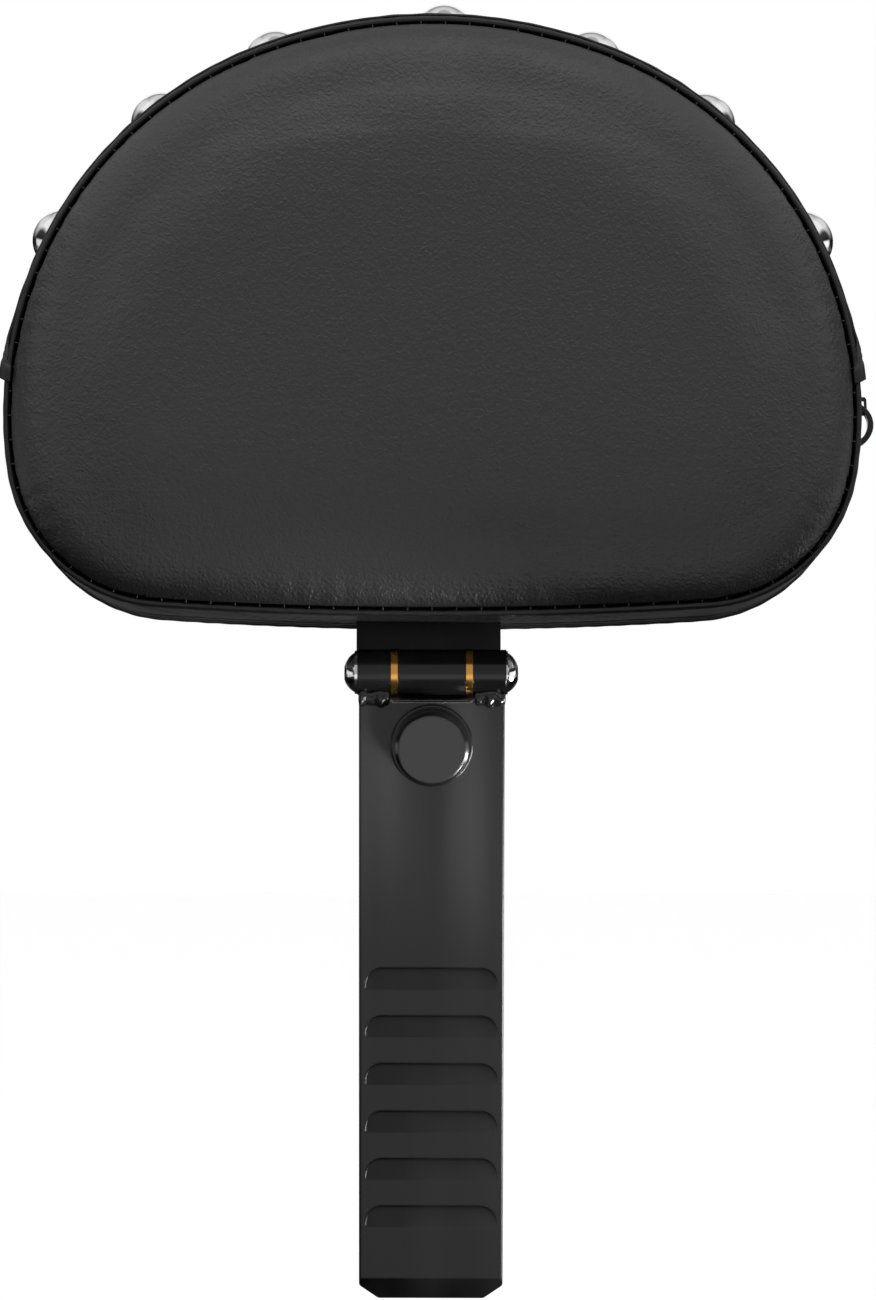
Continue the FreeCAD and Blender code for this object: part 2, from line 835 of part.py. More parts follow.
def crown_normal(step, rise):
    """The crown's outward normal there, as (away from the middle, away from the seam)."""
    if step == 0:
        return 1.0, 0.0
    small = 0.0002
    run = 2 * small * SIZES["crown_span"]
    slope = rise * (crown_share(step + small) - crown_share(step - small)) / run
    return slope / math.hypot(slope, 1), 1 / math.hypot(slope, 1)


def add_crown(body, name, seam, seam_depth, rise, inset, forward):
    """Loft a crowned panel from the seam outline. The inset follows the surface's own normal, so that
    one panel lies inside another at an even distance."""
    sketches = []
    span = SIZES["crown_span"]
    for count, step in enumerate(CROWN_STEPS):
        away, ahead = crown_normal(step, rise)
        depth = number(seam_depth) + forward * (crown_share(step) * rise - inset * ahead)
        sketch = new_sketch(body, f"{name}_{count}", "XZ_Plane", offset=-depth)
        add_outline(sketch, seam - step * span - inset * away)
        sketches.append(sketch)
    for count, (share, shrink) in enumerate(((0.985, 0.6), (1.0, 0.2))):
        depth = number(seam_depth) + forward * (share * rise - inset)
        sketch = new_sketch(body, f"{name}_middle_{count}", "XZ_Plane", offset=-depth)
        add_outline(sketch, seam - CROWN_STEPS[-1] * span, shrink=shrink)
        sketches.append(sketch)
    loft = body.newObject("PartDesign::AdditiveLoft", name)
    loft.Profile = sketches[0]
    loft.Sections = sketches[1:]
    loft.Ruled = True
    return loft


cover_edge = -0.3
seam_depth = -size("front_reach")
front_crown = SIZES["crown_height"]
filling_edge = size("band_proud") - size("band_thick") - size("lay_gap")
boxing_front = seam_depth + size("piping_radius")
pouch_front = plate_back + size("lay_gap")
pouch_back = pouch_front + size("pouch_depth")


def make_backing_board():
    body = band("backing_board", filling_edge.value, None, board_front, plate_front)
    for count, (across_x, up) in enumerate(plate_holes(), start=1):
        hole = body.newObject("PartDesign::SubtractiveCylinder", f"board_hole_{count}")
        bind(hole, "Radius", size("tee_barrel") + 0.1)
        bind(hole, "Height", size("board_thick") + 2.0)
        hole.Placement = FreeCAD.Placement(Vector(across_x, board_front.value - 1.0, up), ALONG_Y)
        seat = body.newObject("PartDesign::SubtractiveCylinder", f"board_seat_{count}")
        bind(seat, "Radius", size("tee_flange") + 0.1)
        bind(seat, "Height", size("tee_plate") + 1.0)
        seat.Placement = FreeCAD.Placement(Vector(across_x, board_front.value - 1.0, up), ALONG_Y)
    keep(body, "backing_board", PAD_FRAME)


def make_foam_and_cover():
    """The foam block with its crowned front, and the cover as an even skin over that crown."""
    skin = SIZES["cover_thick"]
    rim = seam_depth + 0.5
    foam = band("foam_pad", filling_edge.value, None, boxing_front, board_front - size("lay_gap"))
    neck = new_sketch(foam, "foam_neck", "XZ_Plane", offset=-boxing_front)
    under = skin + SIZES["lay_gap"]
    add_outline(neck, cover_edge - under)
    add_solid(foam, "foam_neck_solid", neck, boxing_front - rim)
    add_crown(foam, "foam_crown", cover_edge, rim, front_crown, under, -1.0)
    keep(foam, "foam_pad", PAD_FRAME)

    outer = new_body("cover_outer")
    add_crown(outer, "cover_face", cover_edge, rim, front_crown, 0.0, -1.0)
    inner = new_body("cover_inner")
    add_crown(inner, "cover_lining", cover_edge, rim, front_crown, skin, -1.0)
    shell = doc.addObject("Part::Cut", "front_cover_shell")
    shell.Base = outer
    shell.Tool = inner
    keep(shell, "front_cover", PAD_FRAME)


def make_piping(name, depth):
    """A round welt swept along the seam."""
    radius = size("piping_radius")
    body = new_body(name)
    path = new_sketch(body, name + "_path", "XZ_Plane", offset=-depth)
    add_outline(path, radius.value)
    section = new_sketch(body, name + "_section", "YZ_Plane")
    add_circle(section, (depth, radius + SEAM_TOP), radius)
    sweep = body.newObject("PartDesign::AdditivePipe", name + "_sweep")
    sweep.Profile = section
    sweep.Spine = (path, [f"Edge{index}" for index in range(1, 2 * len(ARCS) + 1)])
    keep(body, name, PAD_FRAME)


def make_side_boxing():
    """The side band. Above the zipper's lower ends it stops at the zipper, and at the bottom it has
    a slot that the bracket passes through."""
    zip_front = plate_front - 5.0
    outside = SIZES["band_proud"]
    body = band("side_boxing", outside, outside - SIZES["band_thick"], boxing_front, plate_back)
    for name, left, right, low in (
        ("left", -PAST, 0.0, size("zip_left_end")),
        ("right", 0.0, PAST, size("zip_right_end")),
    ):
        window = new_sketch(body, "zip_window_" + name, "XZ_Plane", offset=-zip_front)
        add_loop(window, [(left, low), (right, low), (right, PAST * 2), (left, PAST * 2)])
        cut(body, "zip_window_cut_" + name, window)
    slot = new_sketch(body, "plate_slot", "XZ_Plane", offset=-plate_front + size("lay_gap"))
    half = plate_width / 2 + size("lay_gap")
    low = SIZES["pad_lift"] - 20.0
    add_loop(slot, [
        (size("plate_shift") - half, low),
        (size("plate_shift") + half, low),
        (size("plate_shift") + half, SIZES["pad_lift"] + 20.0),
        (size("plate_shift") - half, SIZES["pad_lift"] + 20.0),
    ])
    cut(body, "plate_slot_cut", slot)
    keep(body, "side_boxing", PAD_FRAME)


def make_zipper_tape():
    """Tape let into the side band, with the closed row of teeth as a ridge along its middle."""
    front = plate_front - 4.7
    back = plate_back - 0.3
    middle = (front + back) / 2
    low = SIZES["band_proud"] - 1.2
    body = band("zipper_tape", low + SIZES["zip_thick"], low, front, back)
    ridge = new_sketch(body, "zipper_teeth", "XZ_Plane", offset=-(middle - size("teeth_width") / 2))
    add_outline(ridge, low + SIZES["zip_thick"] + SIZES["teeth_proud"])
    add_outline(ridge, low + SIZES["zip_thick"] / 2)
    add_solid(body, "zipper_ridge", ridge, size("teeth_width"), back=True)
    for name, left, right, up in (
        ("left", -PAST, 0.0, size("zip_left_end") + size("lay_gap")),
        ("right", 0.0, PAST, size("zip_right_end") + size("lay_gap")),
    ):
        below = new_sketch(body, "zip_end_" + name, "XZ_Plane")
        add_loop(below, [(left, -PAST), (right, -PAST), (right, up), (left, up)])
        cut(body, "zip_end_cut_" + name, below, middle=True)
    keep(body, "zipper_tape", PAD_FRAME)


def make_rear_pouch():
    """The closed pouch: a straight side and a crowned back panel inside its own welt."""
    body = band("rear_pouch", SIZES["band_proud"], None, pouch_front, pouch_back)
    rim = new_sketch(body, "pouch_rim", "XZ_Plane", offset=-pouch_back)
    add_outline(rim, cover_edge)
    depth = size("piping_radius")
    add_solid(body, "pouch_rim_solid", rim, depth, back=True)
    add_crown(body, "pouch_back", cover_edge, pouch_back + depth, SIZES["pouch_crown"], 0.0, 1.0)
    keep(body, "rear_pouch", PAD_FRAME)


# Studded flap

flap_inner = SIZES["band_proud"] + SIZES["lay_gap"]
flap_outer = flap_inner + SIZES["flap_thick"]
flap_front = boxing_front + 0.5
flap_back = flap_front + size("flap_width")


def stud_headings():
    """Headings of the studs round the outline, evenly stepped but for the last one on each side."""
    step = SIZES["stud_angle_step"]
    side = [step, 2 * step, SIZES["stud_angle_last"]]
    turns = [-angle for angle in reversed(side)] + [SIZES["stud_angle_shift"]] + side
    return [math.radians(angle) for angle in turns]


def stud_frame(heading, grow):
    """Placement on the band's outside, with +Z of the piece along the outward normal."""
    x, z = outline_point(heading, grow)
    turn = FreeCAD.Rotation(Vector(0, 1, 0), math.degrees(heading))
    return FreeCAD.Placement(Vector(x, flap_front.value + SIZES["stud_setback"], z), turn)


def make_stud_flap():
    body = band("stud_flap_strip", flap_outer, flap_inner, flap_front, flap_back)
    below = new_sketch(body, "flap_ends", "YZ_Plane")
    add_loop(below, [
        (flap_front - 5.0, -PAST),
        (flap_back + 5.0, -PAST),
        (flap_back + 5.0, size("flap_end") + size("flap_slant")),
        (flap_front - 5.0, size("flap_end")),
    ])
    cut(body, "flap_ends_cut", below, middle=True)
    holes = []
    for count, heading in enumerate(stud_headings(), start=1):
        hole = doc.addObject("Part::Cylinder", f"stud_hole_{count}")
        bind(hole, "Radius", size("stud_shank") + 0.2)
        hole.Height = 10.0
        hole.Placement = stud_frame(heading, flap_inner - 4.0)
        holes.append(hole)
    tools = doc.addObject("Part::MultiFuse", "stud_holes")
    tools.Shapes = holes
    flap = doc.addObject("Part::Cut", "stud_flap_cut")
    flap.Base = body
    flap.Tool = tools
    keep(flap, "stud_flap", PAD_FRAME)


def make_dome_studs():
    radius = SIZES["stud_radius"]
    height = SIZES["stud_height"]
    base = 0.02
    shank = size("stud_shank")
    for count, heading in enumerate(stud_headings(), start=1):
        name = f"dome_stud_{count}"
        stud = turned(name, [
            (0.0, -size("flap_thick")),
            (shank, -size("flap_thick")),
            (shank, base),
            (size("stud_radius"), base),
            (0.0, base + height, radius * 0.6, base + cap_rise(radius, height, 0.6)),
        ])
        keep(stud, name, PAD_FRAME.multiply(stud_frame(heading, flap_outer)))


# Zipper slider and pull, in a frame on the band's right side: X outwards, Z up along the band


def slider_frame():
    heading = side_heading(SIZES["slider_height"])
    x, z = outline_point(heading, SIZES["band_proud"])
    middle = (plate_front.value - 4.7 + plate_back.value - 0.3) / 2
    turn = FreeCAD.Rotation(Vector(0, 1, 0), math.degrees(heading) - 90)
    return FreeCAD.Placement(Vector(x, middle, z), turn)


def pull_pivot():
    """Centre of the pull's cross pin in the slider's frame."""
    return SIZES["lay_gap"] + SIZES["slider_thick"] + SIZES["pull_pin"] + 0.35, 0.0


def make_zipper_slider():
    body = new_body("zipper_slider")
    half = size("slider_length") / 2
    low = size("lay_gap")
    high = low + size("slider_thick")
    top = high + size("bail_reach")
    plan = new_sketch(body, "slider_plan", "YZ_Plane", offset=low)
    wide = size("slider_width") / 2
    add_loop(plan, [
        (-wide * 0.6, -half),
        (wide * 0.6, -half),
        (wide, half * 0.3),
        (wide * 0.8, half),
        (-wide * 0.8, half),
        (-wide, half * 0.3),
    ])
    add_solid(body, "slider_plate", plan, size("slider_thick"))
    bail = new_sketch(body, "slider_bail", "XZ_Plane")
    bar = size("bail_bar")
    grip = half * 0.72
    add_loop(bail, [
        (high - 0.2, -grip),
        (high - 0.2, bar - grip),
        (top - bar, bar * 1.6 - grip),
        (top - bar, grip - bar * 1.6),
        (high - 0.2, grip - bar),
        (high - 0.2, grip),
        (top - bar * 0.7, grip),
        (top, grip - bar * 0.9),
        (top, bar * 0.9 - grip),
        (top - bar * 0.7, -grip),
    ])
    add_solid(body, "slider_bail_solid", bail, size("bail_width"), middle=True)
    keep(body, "zipper_slider", PAD_FRAME.multiply(slider_frame()))


def make_zipper_pull():
    """A bowed tab that hangs from a cross pin inside the slider's bail."""
    out, up = pull_pivot()
    thick = SIZES["pull_thick"]
    drop = SIZES["pull_drop"]
    bow = SIZES["pull_bow"]
    pin = size("pull_pin")
    toe = SIZES["lay_gap"] + 0.3
    body = new_body("zipper_pull")
    tab = new_sketch(body, "pull_side", "XZ_Plane")
    start = out - 0.5
    add_loop(tab, [
        (start, up + pin.value),
        (start, up - 1.0),
        (toe, up - drop + thick, out + bow, up - drop * 0.45),
        (toe, up - drop),
        (start + 0.2, up + pin.value, out + bow + thick, up - drop * 0.42),
    ])
    add_solid(body, "pull_tab", tab, size("pull_width"), middle=True)
    window = new_sketch(body, "pull_window", "YZ_Plane")
    side = size("bail_width") / 2 + 0.35
    add_loop(window, [
        (-side, up - 4.2),
        (side, up - 4.2),
        (side, up + 1.5),
        (-side, up + 1.5),
    ])
    cut(body, "pull_window_cut", window, middle=True)
    cross = new_sketch(body, "pull_cross", "XZ_Plane")
    add_circle(cross, (out, up), pin)
    add_solid(body, "pull_cross_pin", cross, size("pull_width"), middle=True)
    keep(body, "zipper_pull", PAD_FRAME.multiply(slider_frame()))


make_post_bar()
make_hinge()
make_adjuster()
make_upper_bracket()
make_plate_fasteners()
make_backing_board()
make_foam_and_cover()
make_piping("edge_piping", seam_depth)
make_piping("rear_piping", pouch_back + size("piping_radius") + 0.3)
make_side_boxing()
make_zipper_tape()
make_rear_pouch()
make_stud_flap()
make_dome_studs()
make_zipper_slider()
make_zipper_pull()
doc.recompute()

faults = [item.Name for item in doc.Objects if "Invalid" in item.State or "Error" in item.State]
os.makedirs("parts", exist_ok=True)
for node in NODES:
    shape = node.Shape
    if shape.isNull() or not shape.isValid() or not shape.Solids:
        faults.append(node.Label)
        continue
    shape.exportStep(f"parts/{node.Label}.step")
    box = shape.BoundBox
    print(f"{node.Label:20s} {len(shape.Solids)} {shape.Volume:10.1f}"
          f"  x {box.XMin:7.1f} {box.XMax:7.1f}  y {box.YMin:7.1f} {box.YMax:7.1f}"
          f"  z {box.ZMin:7.1f} {box.ZMax:7.1f}")
if faults:
    raise RuntimeError("faulty: " + ", ".join(faults))
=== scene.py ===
import math
import bmesh
import bpy
import numpy as np
from mathutils import Matrix


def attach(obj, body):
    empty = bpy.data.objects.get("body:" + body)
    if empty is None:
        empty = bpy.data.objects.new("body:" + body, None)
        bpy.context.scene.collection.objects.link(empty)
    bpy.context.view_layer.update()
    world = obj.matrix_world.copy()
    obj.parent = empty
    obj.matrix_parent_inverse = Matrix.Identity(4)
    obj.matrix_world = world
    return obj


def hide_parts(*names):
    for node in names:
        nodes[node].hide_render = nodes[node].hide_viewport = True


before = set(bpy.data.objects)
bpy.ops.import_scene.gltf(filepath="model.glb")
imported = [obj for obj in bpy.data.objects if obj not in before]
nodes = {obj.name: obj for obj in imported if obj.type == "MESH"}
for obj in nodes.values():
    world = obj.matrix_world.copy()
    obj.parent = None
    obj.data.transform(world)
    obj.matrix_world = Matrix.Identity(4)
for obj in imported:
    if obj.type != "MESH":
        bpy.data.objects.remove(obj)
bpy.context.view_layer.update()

scene = bpy.context.scene

# Shapes are worked out in millimetres. The pad's own frame starts at the middle of the hinge, with its
# depth axis square to the backing board, and leans back from the post.
HINGE_HEIGHT = 223.6
LEAN = math.radians(12.0)
SEAM_DEPTH = -29.0
PAD_LIFT = 19.5
BAND_OUT = 1.8
BAND_FRONT = -27.9
WELT_RADIUS = 1.1
FLAP_IN = 2.1
FLAP_OUT = 3.3
FLAP_FRONT = -27.4
FLAP_BACK = 14.6
STITCH_STEP = 8.4
TOOTH_STEP = 2.6
ZIPPER_DEPTH = 8.5
FLAP_END_HEIGHT = 98.0
ZIPPER_LEFT_HEIGHT = 109.0
ZIPPER_RIGHT_HEIGHT = 70.0
RIPPLE_SINES = 9


def pad_to_row(points):
    """Pad-frame millimetres to row metres: turned back about the hinge by the lean, then lifted to the
    hinge's height."""
    x, y, z = np.moveaxis(np.asarray(points, dtype=float), -1, 0)
    back = y * math.cos(LEAN) + z * math.sin(LEAN)
    rise = z * math.cos(LEAN) - y * math.sin(LEAN) + HINGE_HEIGHT
    return np.stack((x, back, rise), axis=-1) / 1000


def row_to_pad(points):
    """The same turn the other way: row metres to pad-frame millimetres."""
    x, back, rise = np.moveaxis(np.asarray(points, dtype=float) * 1000, -1, 0)
    rise = rise - HINGE_HEIGHT
    y = back * math.cos(LEAN) - rise * math.sin(LEAN)
    z = back * math.sin(LEAN) + rise * math.cos(LEAN)
    return np.stack((x, y, z), axis=-1)


def hinge_to_row(points):
    """Post-frame millimetres measured from the hinge's axis to row metres."""
    return (np.asarray(points, dtype=float) + (0, 0, HINGE_HEIGHT)) / 1000


def seam_arcs():
    """The pad's outline at the front seam: three tangent arcs (radius, angle) down the right side, and a
    flat arc that closes the bottom. Each row is centre x, centre z, radius, first and last heading."""
    rows = []
    heading = x = z = 0.0
    for radius, angle in ((167.4, 20.7), (133.6, 78.0), (53.0, 77.5)):
        centre = (x - radius * math.sin(heading), z - radius * math.cos(heading))
        last = heading + math.radians(angle)
        rows.append((*centre, radius, heading, last))
        heading = last
        x = centre[0] + radius * math.sin(heading)
        z = centre[1] + radius * math.cos(heading)
    radius = x / math.sin(heading)
    rows.append((0.0, z - radius * math.cos(heading), radius, heading, math.pi))
    arcs = np.array(rows)
    arcs[:, 1] += PAD_LIFT - (arcs[3, 1] - arcs[3, 2])
    return arcs


ARCS = seam_arcs()
SEAM_TOP = ARCS[0, 1] + ARCS[0, 2]
PAD_MIDDLE = (SEAM_TOP + PAD_LIFT) / 2


def outline(headings, growth):
    """(x, z) on the outline grown outwards: the centre of the arc that holds the heading, plus its radius
    and the growth along the heading. Headings run from straight up, clockwise as the rider sees it."""
    turn = np.abs(headings)
    which = np.clip(np.searchsorted(ARCS[:, 4], turn), 0, 3)
    reach = ARCS[which, 2] + growth
    x = ARCS[which, 0] + reach * np.sin(turn)
    z = ARCS[which, 1] + reach * np.cos(turn)
    return np.where(headings < 0, -x, x), z


def from_seam(x, z):
    """(heading, growth) of points: among the arcs whose sector holds the point, the one whose rim is
    nearest, with growth the distance from its centre less its radius."""
    dx = np.abs(x)[..., None] - ARCS[:, 0]
    dz = z[..., None] - ARCS[:, 1]
    turn = np.arctan2(dx, dz)
    held = (turn >= ARCS[:, 3] - 1e-6) & (turn <= ARCS[:, 4] + 1e-6)
    growth = np.where(held, np.hypot(dx, dz) - ARCS[:, 2], -1e6)
    best = np.argmax(growth, axis=-1)[..., None]
    turn = np.take_along_axis(turn, best, -1)[..., 0]
    growth = np.maximum(np.take_along_axis(growth, best, -1)[..., 0], -200.0)
    return np.where(x < 0, -turn, turn), growth


FINE_HEADINGS = np.linspace(-math.pi, math.pi, 40001)
FINE_X, FINE_Z = outline(FINE_HEADINGS, 0.0)
FINE_RUN = np.concatenate(([0.0], np.cumsum(np.hypot(np.diff(FINE_X), np.diff(FINE_Z)))))
SEAM_LENGTH = FINE_RUN[-1]


def seam_run(headings):
    """Length along the seam from the bottom's middle to each heading."""
    return np.interp(headings, FINE_HEADINGS, FINE_RUN)


def heading_at(run):
    """Heading at a length along the seam from the bottom's middle."""
    return np.interp(run, FINE_RUN, FINE_HEADINGS)


def even_headings(count, first=-math.pi, last=math.pi, closed=False):
    """Headings at even steps along the seam."""
    runs = np.linspace(seam_run(first), seam_run(last), count, endpoint=not closed)
    return heading_at(runs)


def side_heading(height):
    """Heading where the right side of the outline is at this height."""
    high = FINE_HEADINGS > 0
    return float(np.interp(-height, -FINE_Z[high], FINE_HEADINGS[high]))


def smooth_step(value, low, high):
    """0 below low, 1 above high, and three t squared less two t cubed between them."""
    share = np.clip((value - low) / (high - low), 0.0, 1.0)
    return share * share * (3 - 2 * share)


def ripple(run, seed, waves):
    """A gentle uneven wave along the closed seam: a sum of sines of whole numbers of waves with fixed
    random phases, scaled to about -1 to 1."""
    rng = np.random.default_rng(seed)
    counts = rng.integers(int(waves * 0.6), int(waves * 2.4) + 1, RIPPLE_SINES)
    phases = rng.uniform(0, 2 * math.pi, RIPPLE_SINES)
    angles = np.multiply.outer(np.asarray(run) / SEAM_LENGTH * 2 * math.pi, counts) + phases
    return np.sin(angles).sum(axis=-1) / 4.0


# Meshes


def add_object(name, mesh, body, material, smooth=True):
    """Put a mesh in the scene as a piece that rides on a body."""
    piece = bpy.data.objects.new(name, mesh)
    scene.collection.objects.link(piece)
    if smooth:
        mesh.polygons.foreach_set("use_smooth", np.ones(len(mesh.polygons), dtype=bool))
    mesh.materials.append(material)
    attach(piece, body)
    return piece


def make_mesh(name, points, faces):
    """A mesh from points in metres and faces, with its faces turned outwards."""
    mesh = bpy.data.meshes.new(name)
    mesh.from_pydata(np.asarray(points).reshape(-1, 3), [], faces)
    form = bmesh.new()
    form.from_mesh(mesh)
    bmesh.ops.recalc_face_normals(form, faces=form.faces)
    form.to_mesh(mesh)
    form.free()
    mesh.update()
    return mesh


def grid_mesh(name, points, round_first=False, ends="cap"):
    """Quads between the neighbours of a grid of points, which closes on itself along its second
    direction. Where it doesn't along its first, each end is a cap, or a fan to its own middle."""
    first, second = points.shape[:2]
    index = np.arange(first * second).reshape(first, second)
    rows = np.concatenate((index, index[:1])) if round_first else index
    rows = np.concatenate((rows, rows[:, :1]), axis=1)
    quads = np.stack((rows[:-1, :-1], rows[1:, :-1], rows[1:, 1:], rows[:-1, 1:]), axis=-1)
    faces = quads.reshape(-1, 4).tolist()
    flat = points.reshape(-1, 3)
    if not round_first and ends == "cap":
        faces.append(index[0].tolist())
        faces.append(index[-1].tolist())
    if not round_first and ends == "fan":
        middles = points[[0, -1]].mean(axis=1)
        flat = np.concatenate((flat, middles))
        for row, middle in ((index[0], len(flat) - 2), (index[-1], len(flat) - 1)):
            fan = np.stack((row, np.roll(row, -1), np.full(second, middle)), axis=-1)
            faces.extend(fan.tolist())
    return make_mesh(name, flat, faces)


def band_points(headings, growth, depth):
    """Points of a band round the pad: at each heading, the outline grown by the section's growth, at the
    section's depth."""
    growth, depth = np.broadcast_arrays(growth, depth)
    x, z = outline(headings[:, None], growth)
    return np.stack((x, np.broadcast_to(depth, x.shape), z), axis=-1)


def copies_mesh(name, shape, faces, places, across, along, out):
    """One small shape repeated: its points, as (across, along, out), laid on each place's three axes."""
    axes = np.stack((across, along, out), axis=1)
    points = places[:, None] + np.einsum("pk,nkc->npc", shape, axes)
    steps = np.arange(len(places))[:, None, None] * len(shape)
    return make_mesh(name, points, (np.asarray(faces)[None] + steps).reshape(-1, len(faces[0])).tolist())


def capsule(radius, length, round_steps=8, rings=5):
    """A closed bead along the second axis: rings whose radius follows a half ellipse."""
    along = -np.cos(np.linspace(0.12, math.pi - 0.12, rings))
    wide = np.sqrt(1 - along ** 2)
    turn = np.linspace(0, 2 * math.pi, round_steps, endpoint=False)
    points = np.stack((
        radius * np.multiply.outer(wide, np.cos(turn)),
        np.repeat(along[:, None] * length / 2, round_steps, axis=1),
        radius * np.multiply.outer(wide, np.sin(turn)),
    ), axis=-1).reshape(-1, 3)
    index = np.arange(rings * round_steps).reshape(rings, round_steps)
    after = np.roll(index, -1, axis=1)
    quads = np.stack((index[:-1], index[1:], after[1:], after[:-1]), axis=-1).reshape(-1, 4).tolist()
    ends = []
    for row in (index[0], index[-1]):
        half = round_steps // 2
        for step in range(1, half):
            ends.append([row[step - 1], row[step], row[-1 - step], row[-step]])
    return points, quads + ends


# Materials


def add_node(tree, kind, values=None, **settings):
    """Add a node, set its own settings, and set or link its inputs."""
    made = tree.nodes.new(kind)
    for field, setting in settings.items():
        setattr(made, field, setting)
    for socket, value in (values or {}).items():
        if isinstance(value, bpy.types.NodeSocket):
            tree.links.new(value, made.inputs[socket])
        else:
            made.inputs[socket].default_value = value
    return made


def new_group(name, inputs, outputs):
    """A node group with named number inputs and named outputs."""
    group = bpy.data.node_groups.new(name, "ShaderNodeTree")
    for label, value in inputs.items():
        socket = group.interface.new_socket(label, in_out="INPUT", socket_type="NodeSocketFloat")
        socket.default_value = value
    for label in outputs:
        group.interface.new_socket(label, in_out="OUTPUT", socket_type="NodeSocketFloat")
    return group, group.nodes.new("NodeGroupInput"), group.nodes.new("NodeGroupOutput")


def make_vinyl_grain():
    """Pebbled vinyl: noise lumps of the cells' size, plus a share of rounded cells parted by creases, on a
    slow unevenness over the whole. CreaseShade is the cells' mask, 0 in the creases, used to paint shade
    there."""
    group, inputs, outputs = new_group(
        "vinyl_grain", {"Cells": 600.0, "Unevenness": 40.0}, ("Height", "Mottle", "CreaseShade"))
    place = add_node(group, "ShaderNodeTexCoord").outputs["Object"]
    drift = add_node(group, "ShaderNodeTexNoise", {"Vector": place, "Scale": 260.0, "Detail": 2.0})
    shift = add_node(group, "ShaderNodeVectorMath",
                     {0: drift.outputs["Color"], 1: (0.0026, 0.0026, 0.0026)}, operation="MULTIPLY")
    bent = add_node(group, "ShaderNodeVectorMath", {0: place, 1: shift.outputs[0]}, operation="ADD")
    cells = add_node(group, "ShaderNodeTexVoronoi",
                     {"Vector": bent.outputs[0], "Scale": inputs.outputs["Cells"]},
                     feature="DISTANCE_TO_EDGE")
    dome = add_node(group, "ShaderNodeMapRange", {"Value": cells.outputs["Distance"], "From Max": 0.55},
                    interpolation_type="SMOOTHSTEP")
    lumps = add_node(group, "ShaderNodeTexNoise", {
        "Vector": bent.outputs[0], "Scale": inputs.outputs["Cells"], "Detail": 2.0, "Roughness": 0.55})
    slow = add_node(group, "ShaderNodeTexNoise",
                    {"Vector": place, "Scale": inputs.outputs["Unevenness"], "Detail": 3.0})
    pebbled = add_node(group, "ShaderNodeMath", {0: dome.outputs[0], 1: 0.35, 2: lumps.outputs["Fac"]},
                       operation="MULTIPLY_ADD")
    mixed = add_node(group, "ShaderNodeMath", {0: slow.outputs["Fac"], 1: 0.8, 2: pebbled.outputs[0]},
                     operation="MULTIPLY_ADD")
    group.links.new(mixed.outputs[0], outputs.inputs["Height"])
    group.links.new(slow.outputs["Fac"], outputs.inputs["Mottle"])
    group.links.new(dome.outputs[0], outputs.inputs["CreaseShade"])
    return group


def make_fine_texture():
    """Orange peel of a sprayed or moulded surface, and soft streaks along the piece's length."""
    group, inputs, outputs = new_group(
        "fine_texture", {"Peel": 700.0, "Streaks": 60.0}, ("Height", "Streak"))
    place = add_node(group, "ShaderNodeTexCoord").outputs["Object"]
    peel = add_node(group, "ShaderNodeTexNoise",
                    {"Vector": place, "Scale": inputs.outputs["Peel"], "Detail": 2.0, "Roughness": 0.4})
    squeezed = add_node(group, "ShaderNodeMapping", {"Vector": place, "Scale": (1.0, 1.0, 0.10)})
    streak = add_node(group, "ShaderNodeTexNoise",
                      {"Vector": squeezed.outputs[0], "Scale": inputs.outputs["Streaks"], "Detail": 0.5})
    clear = add_node(group, "ShaderNodeMapRange",
                     {"Value": streak.outputs["Fac"], "From Min": 0.2, "From Max": 0.8},
                     interpolation_type="SMOOTHSTEP")
    group.links.new(peel.outputs["Fac"], outputs.inputs["Height"])
    group.links.new(clear.outputs[0], outputs.inputs["Streak"])
    return group


def make_edge_wear_and_highlight():
    """Where the surface bends sharply: the difference between the rounded normal and the flat one, for worn
    edges. Top keeps only the edges that face upwards, the mask of a painted highlight."""
    group, inputs, outputs = new_group("edge_wear_and_highlight", {"Width": 0.0006}, ("Edge", "Top"))
    rounded = add_node(group, "ShaderNodeBevel", {"Radius": inputs.outputs["Width"]}, samples=6)
    plain = add_node(group, "ShaderNodeNewGeometry")
    match = add_node(group, "ShaderNodeVectorMath",
                     {0: rounded.outputs["Normal"], 1: plain.outputs["Normal"]}, operation="DOT_PRODUCT")
    edge = add_node(group, "ShaderNodeMapRange",
                    {"Value": match.outputs["Value"], "From Min": 1.0, "From Max": 0.86})
    upright = add_node(group, "ShaderNodeSeparateXYZ", {0: rounded.outputs["Normal"]})
    above = add_node(group, "ShaderNodeMapRange",
                     {"Value": upright.outputs["Z"], "From Min": 0.2, "From Max": 0.6})
    top = add_node(group, "ShaderNodeMath", {0: edge.outputs[0], 1: above.outputs[0]}, operation="MULTIPLY")
    group.links.new(edge.outputs[0], outputs.inputs["Edge"])
    group.links.new(top.outputs[0], outputs.inputs["Top"])
    return group


VINYL_GRAIN = make_vinyl_grain()
FINE_TEXTURE = make_fine_texture()
EDGE_WEAR_AND_HIGHLIGHT = make_edge_wear_and_highlight()


def new_material(name, colour, roughness, metallic=0.0, **sockets):
    """A material with its constants on the shader's own sockets."""
    material = bpy.data.materials.new(name)
    material.use_nodes = True
    tree = material.node_tree
    shader = tree.nodes["Principled BSDF"]
    shader.inputs["Base Color"].default_value = (*colour, 1.0)
    shader.inputs["Roughness"].default_value = roughness
    shader.inputs["Metallic"].default_value = metallic
    for socket, value in sockets.items():
        shader.inputs[socket.replace("_", " ")].default_value = value
    return material, tree, shader


def use_group(tree, group, **values):
    """Place a group in a material with its own values."""
    placed = add_node(tree, "ShaderNodeGroup", node_tree=group)
    for label, value in values.items():
        placed.inputs[label.replace("_", " ")].default_value = value
    return placed


def vary(tree, shader, socket, mask, low, high):
    """Drive a number socket of the shader from a mask, between two values."""
    spread = add_node(tree, "ShaderNodeMapRange", {"Value": mask, "To Min": low, "To Max": high})
    tree.links.new(spread.outputs[0], shader.inputs[socket])


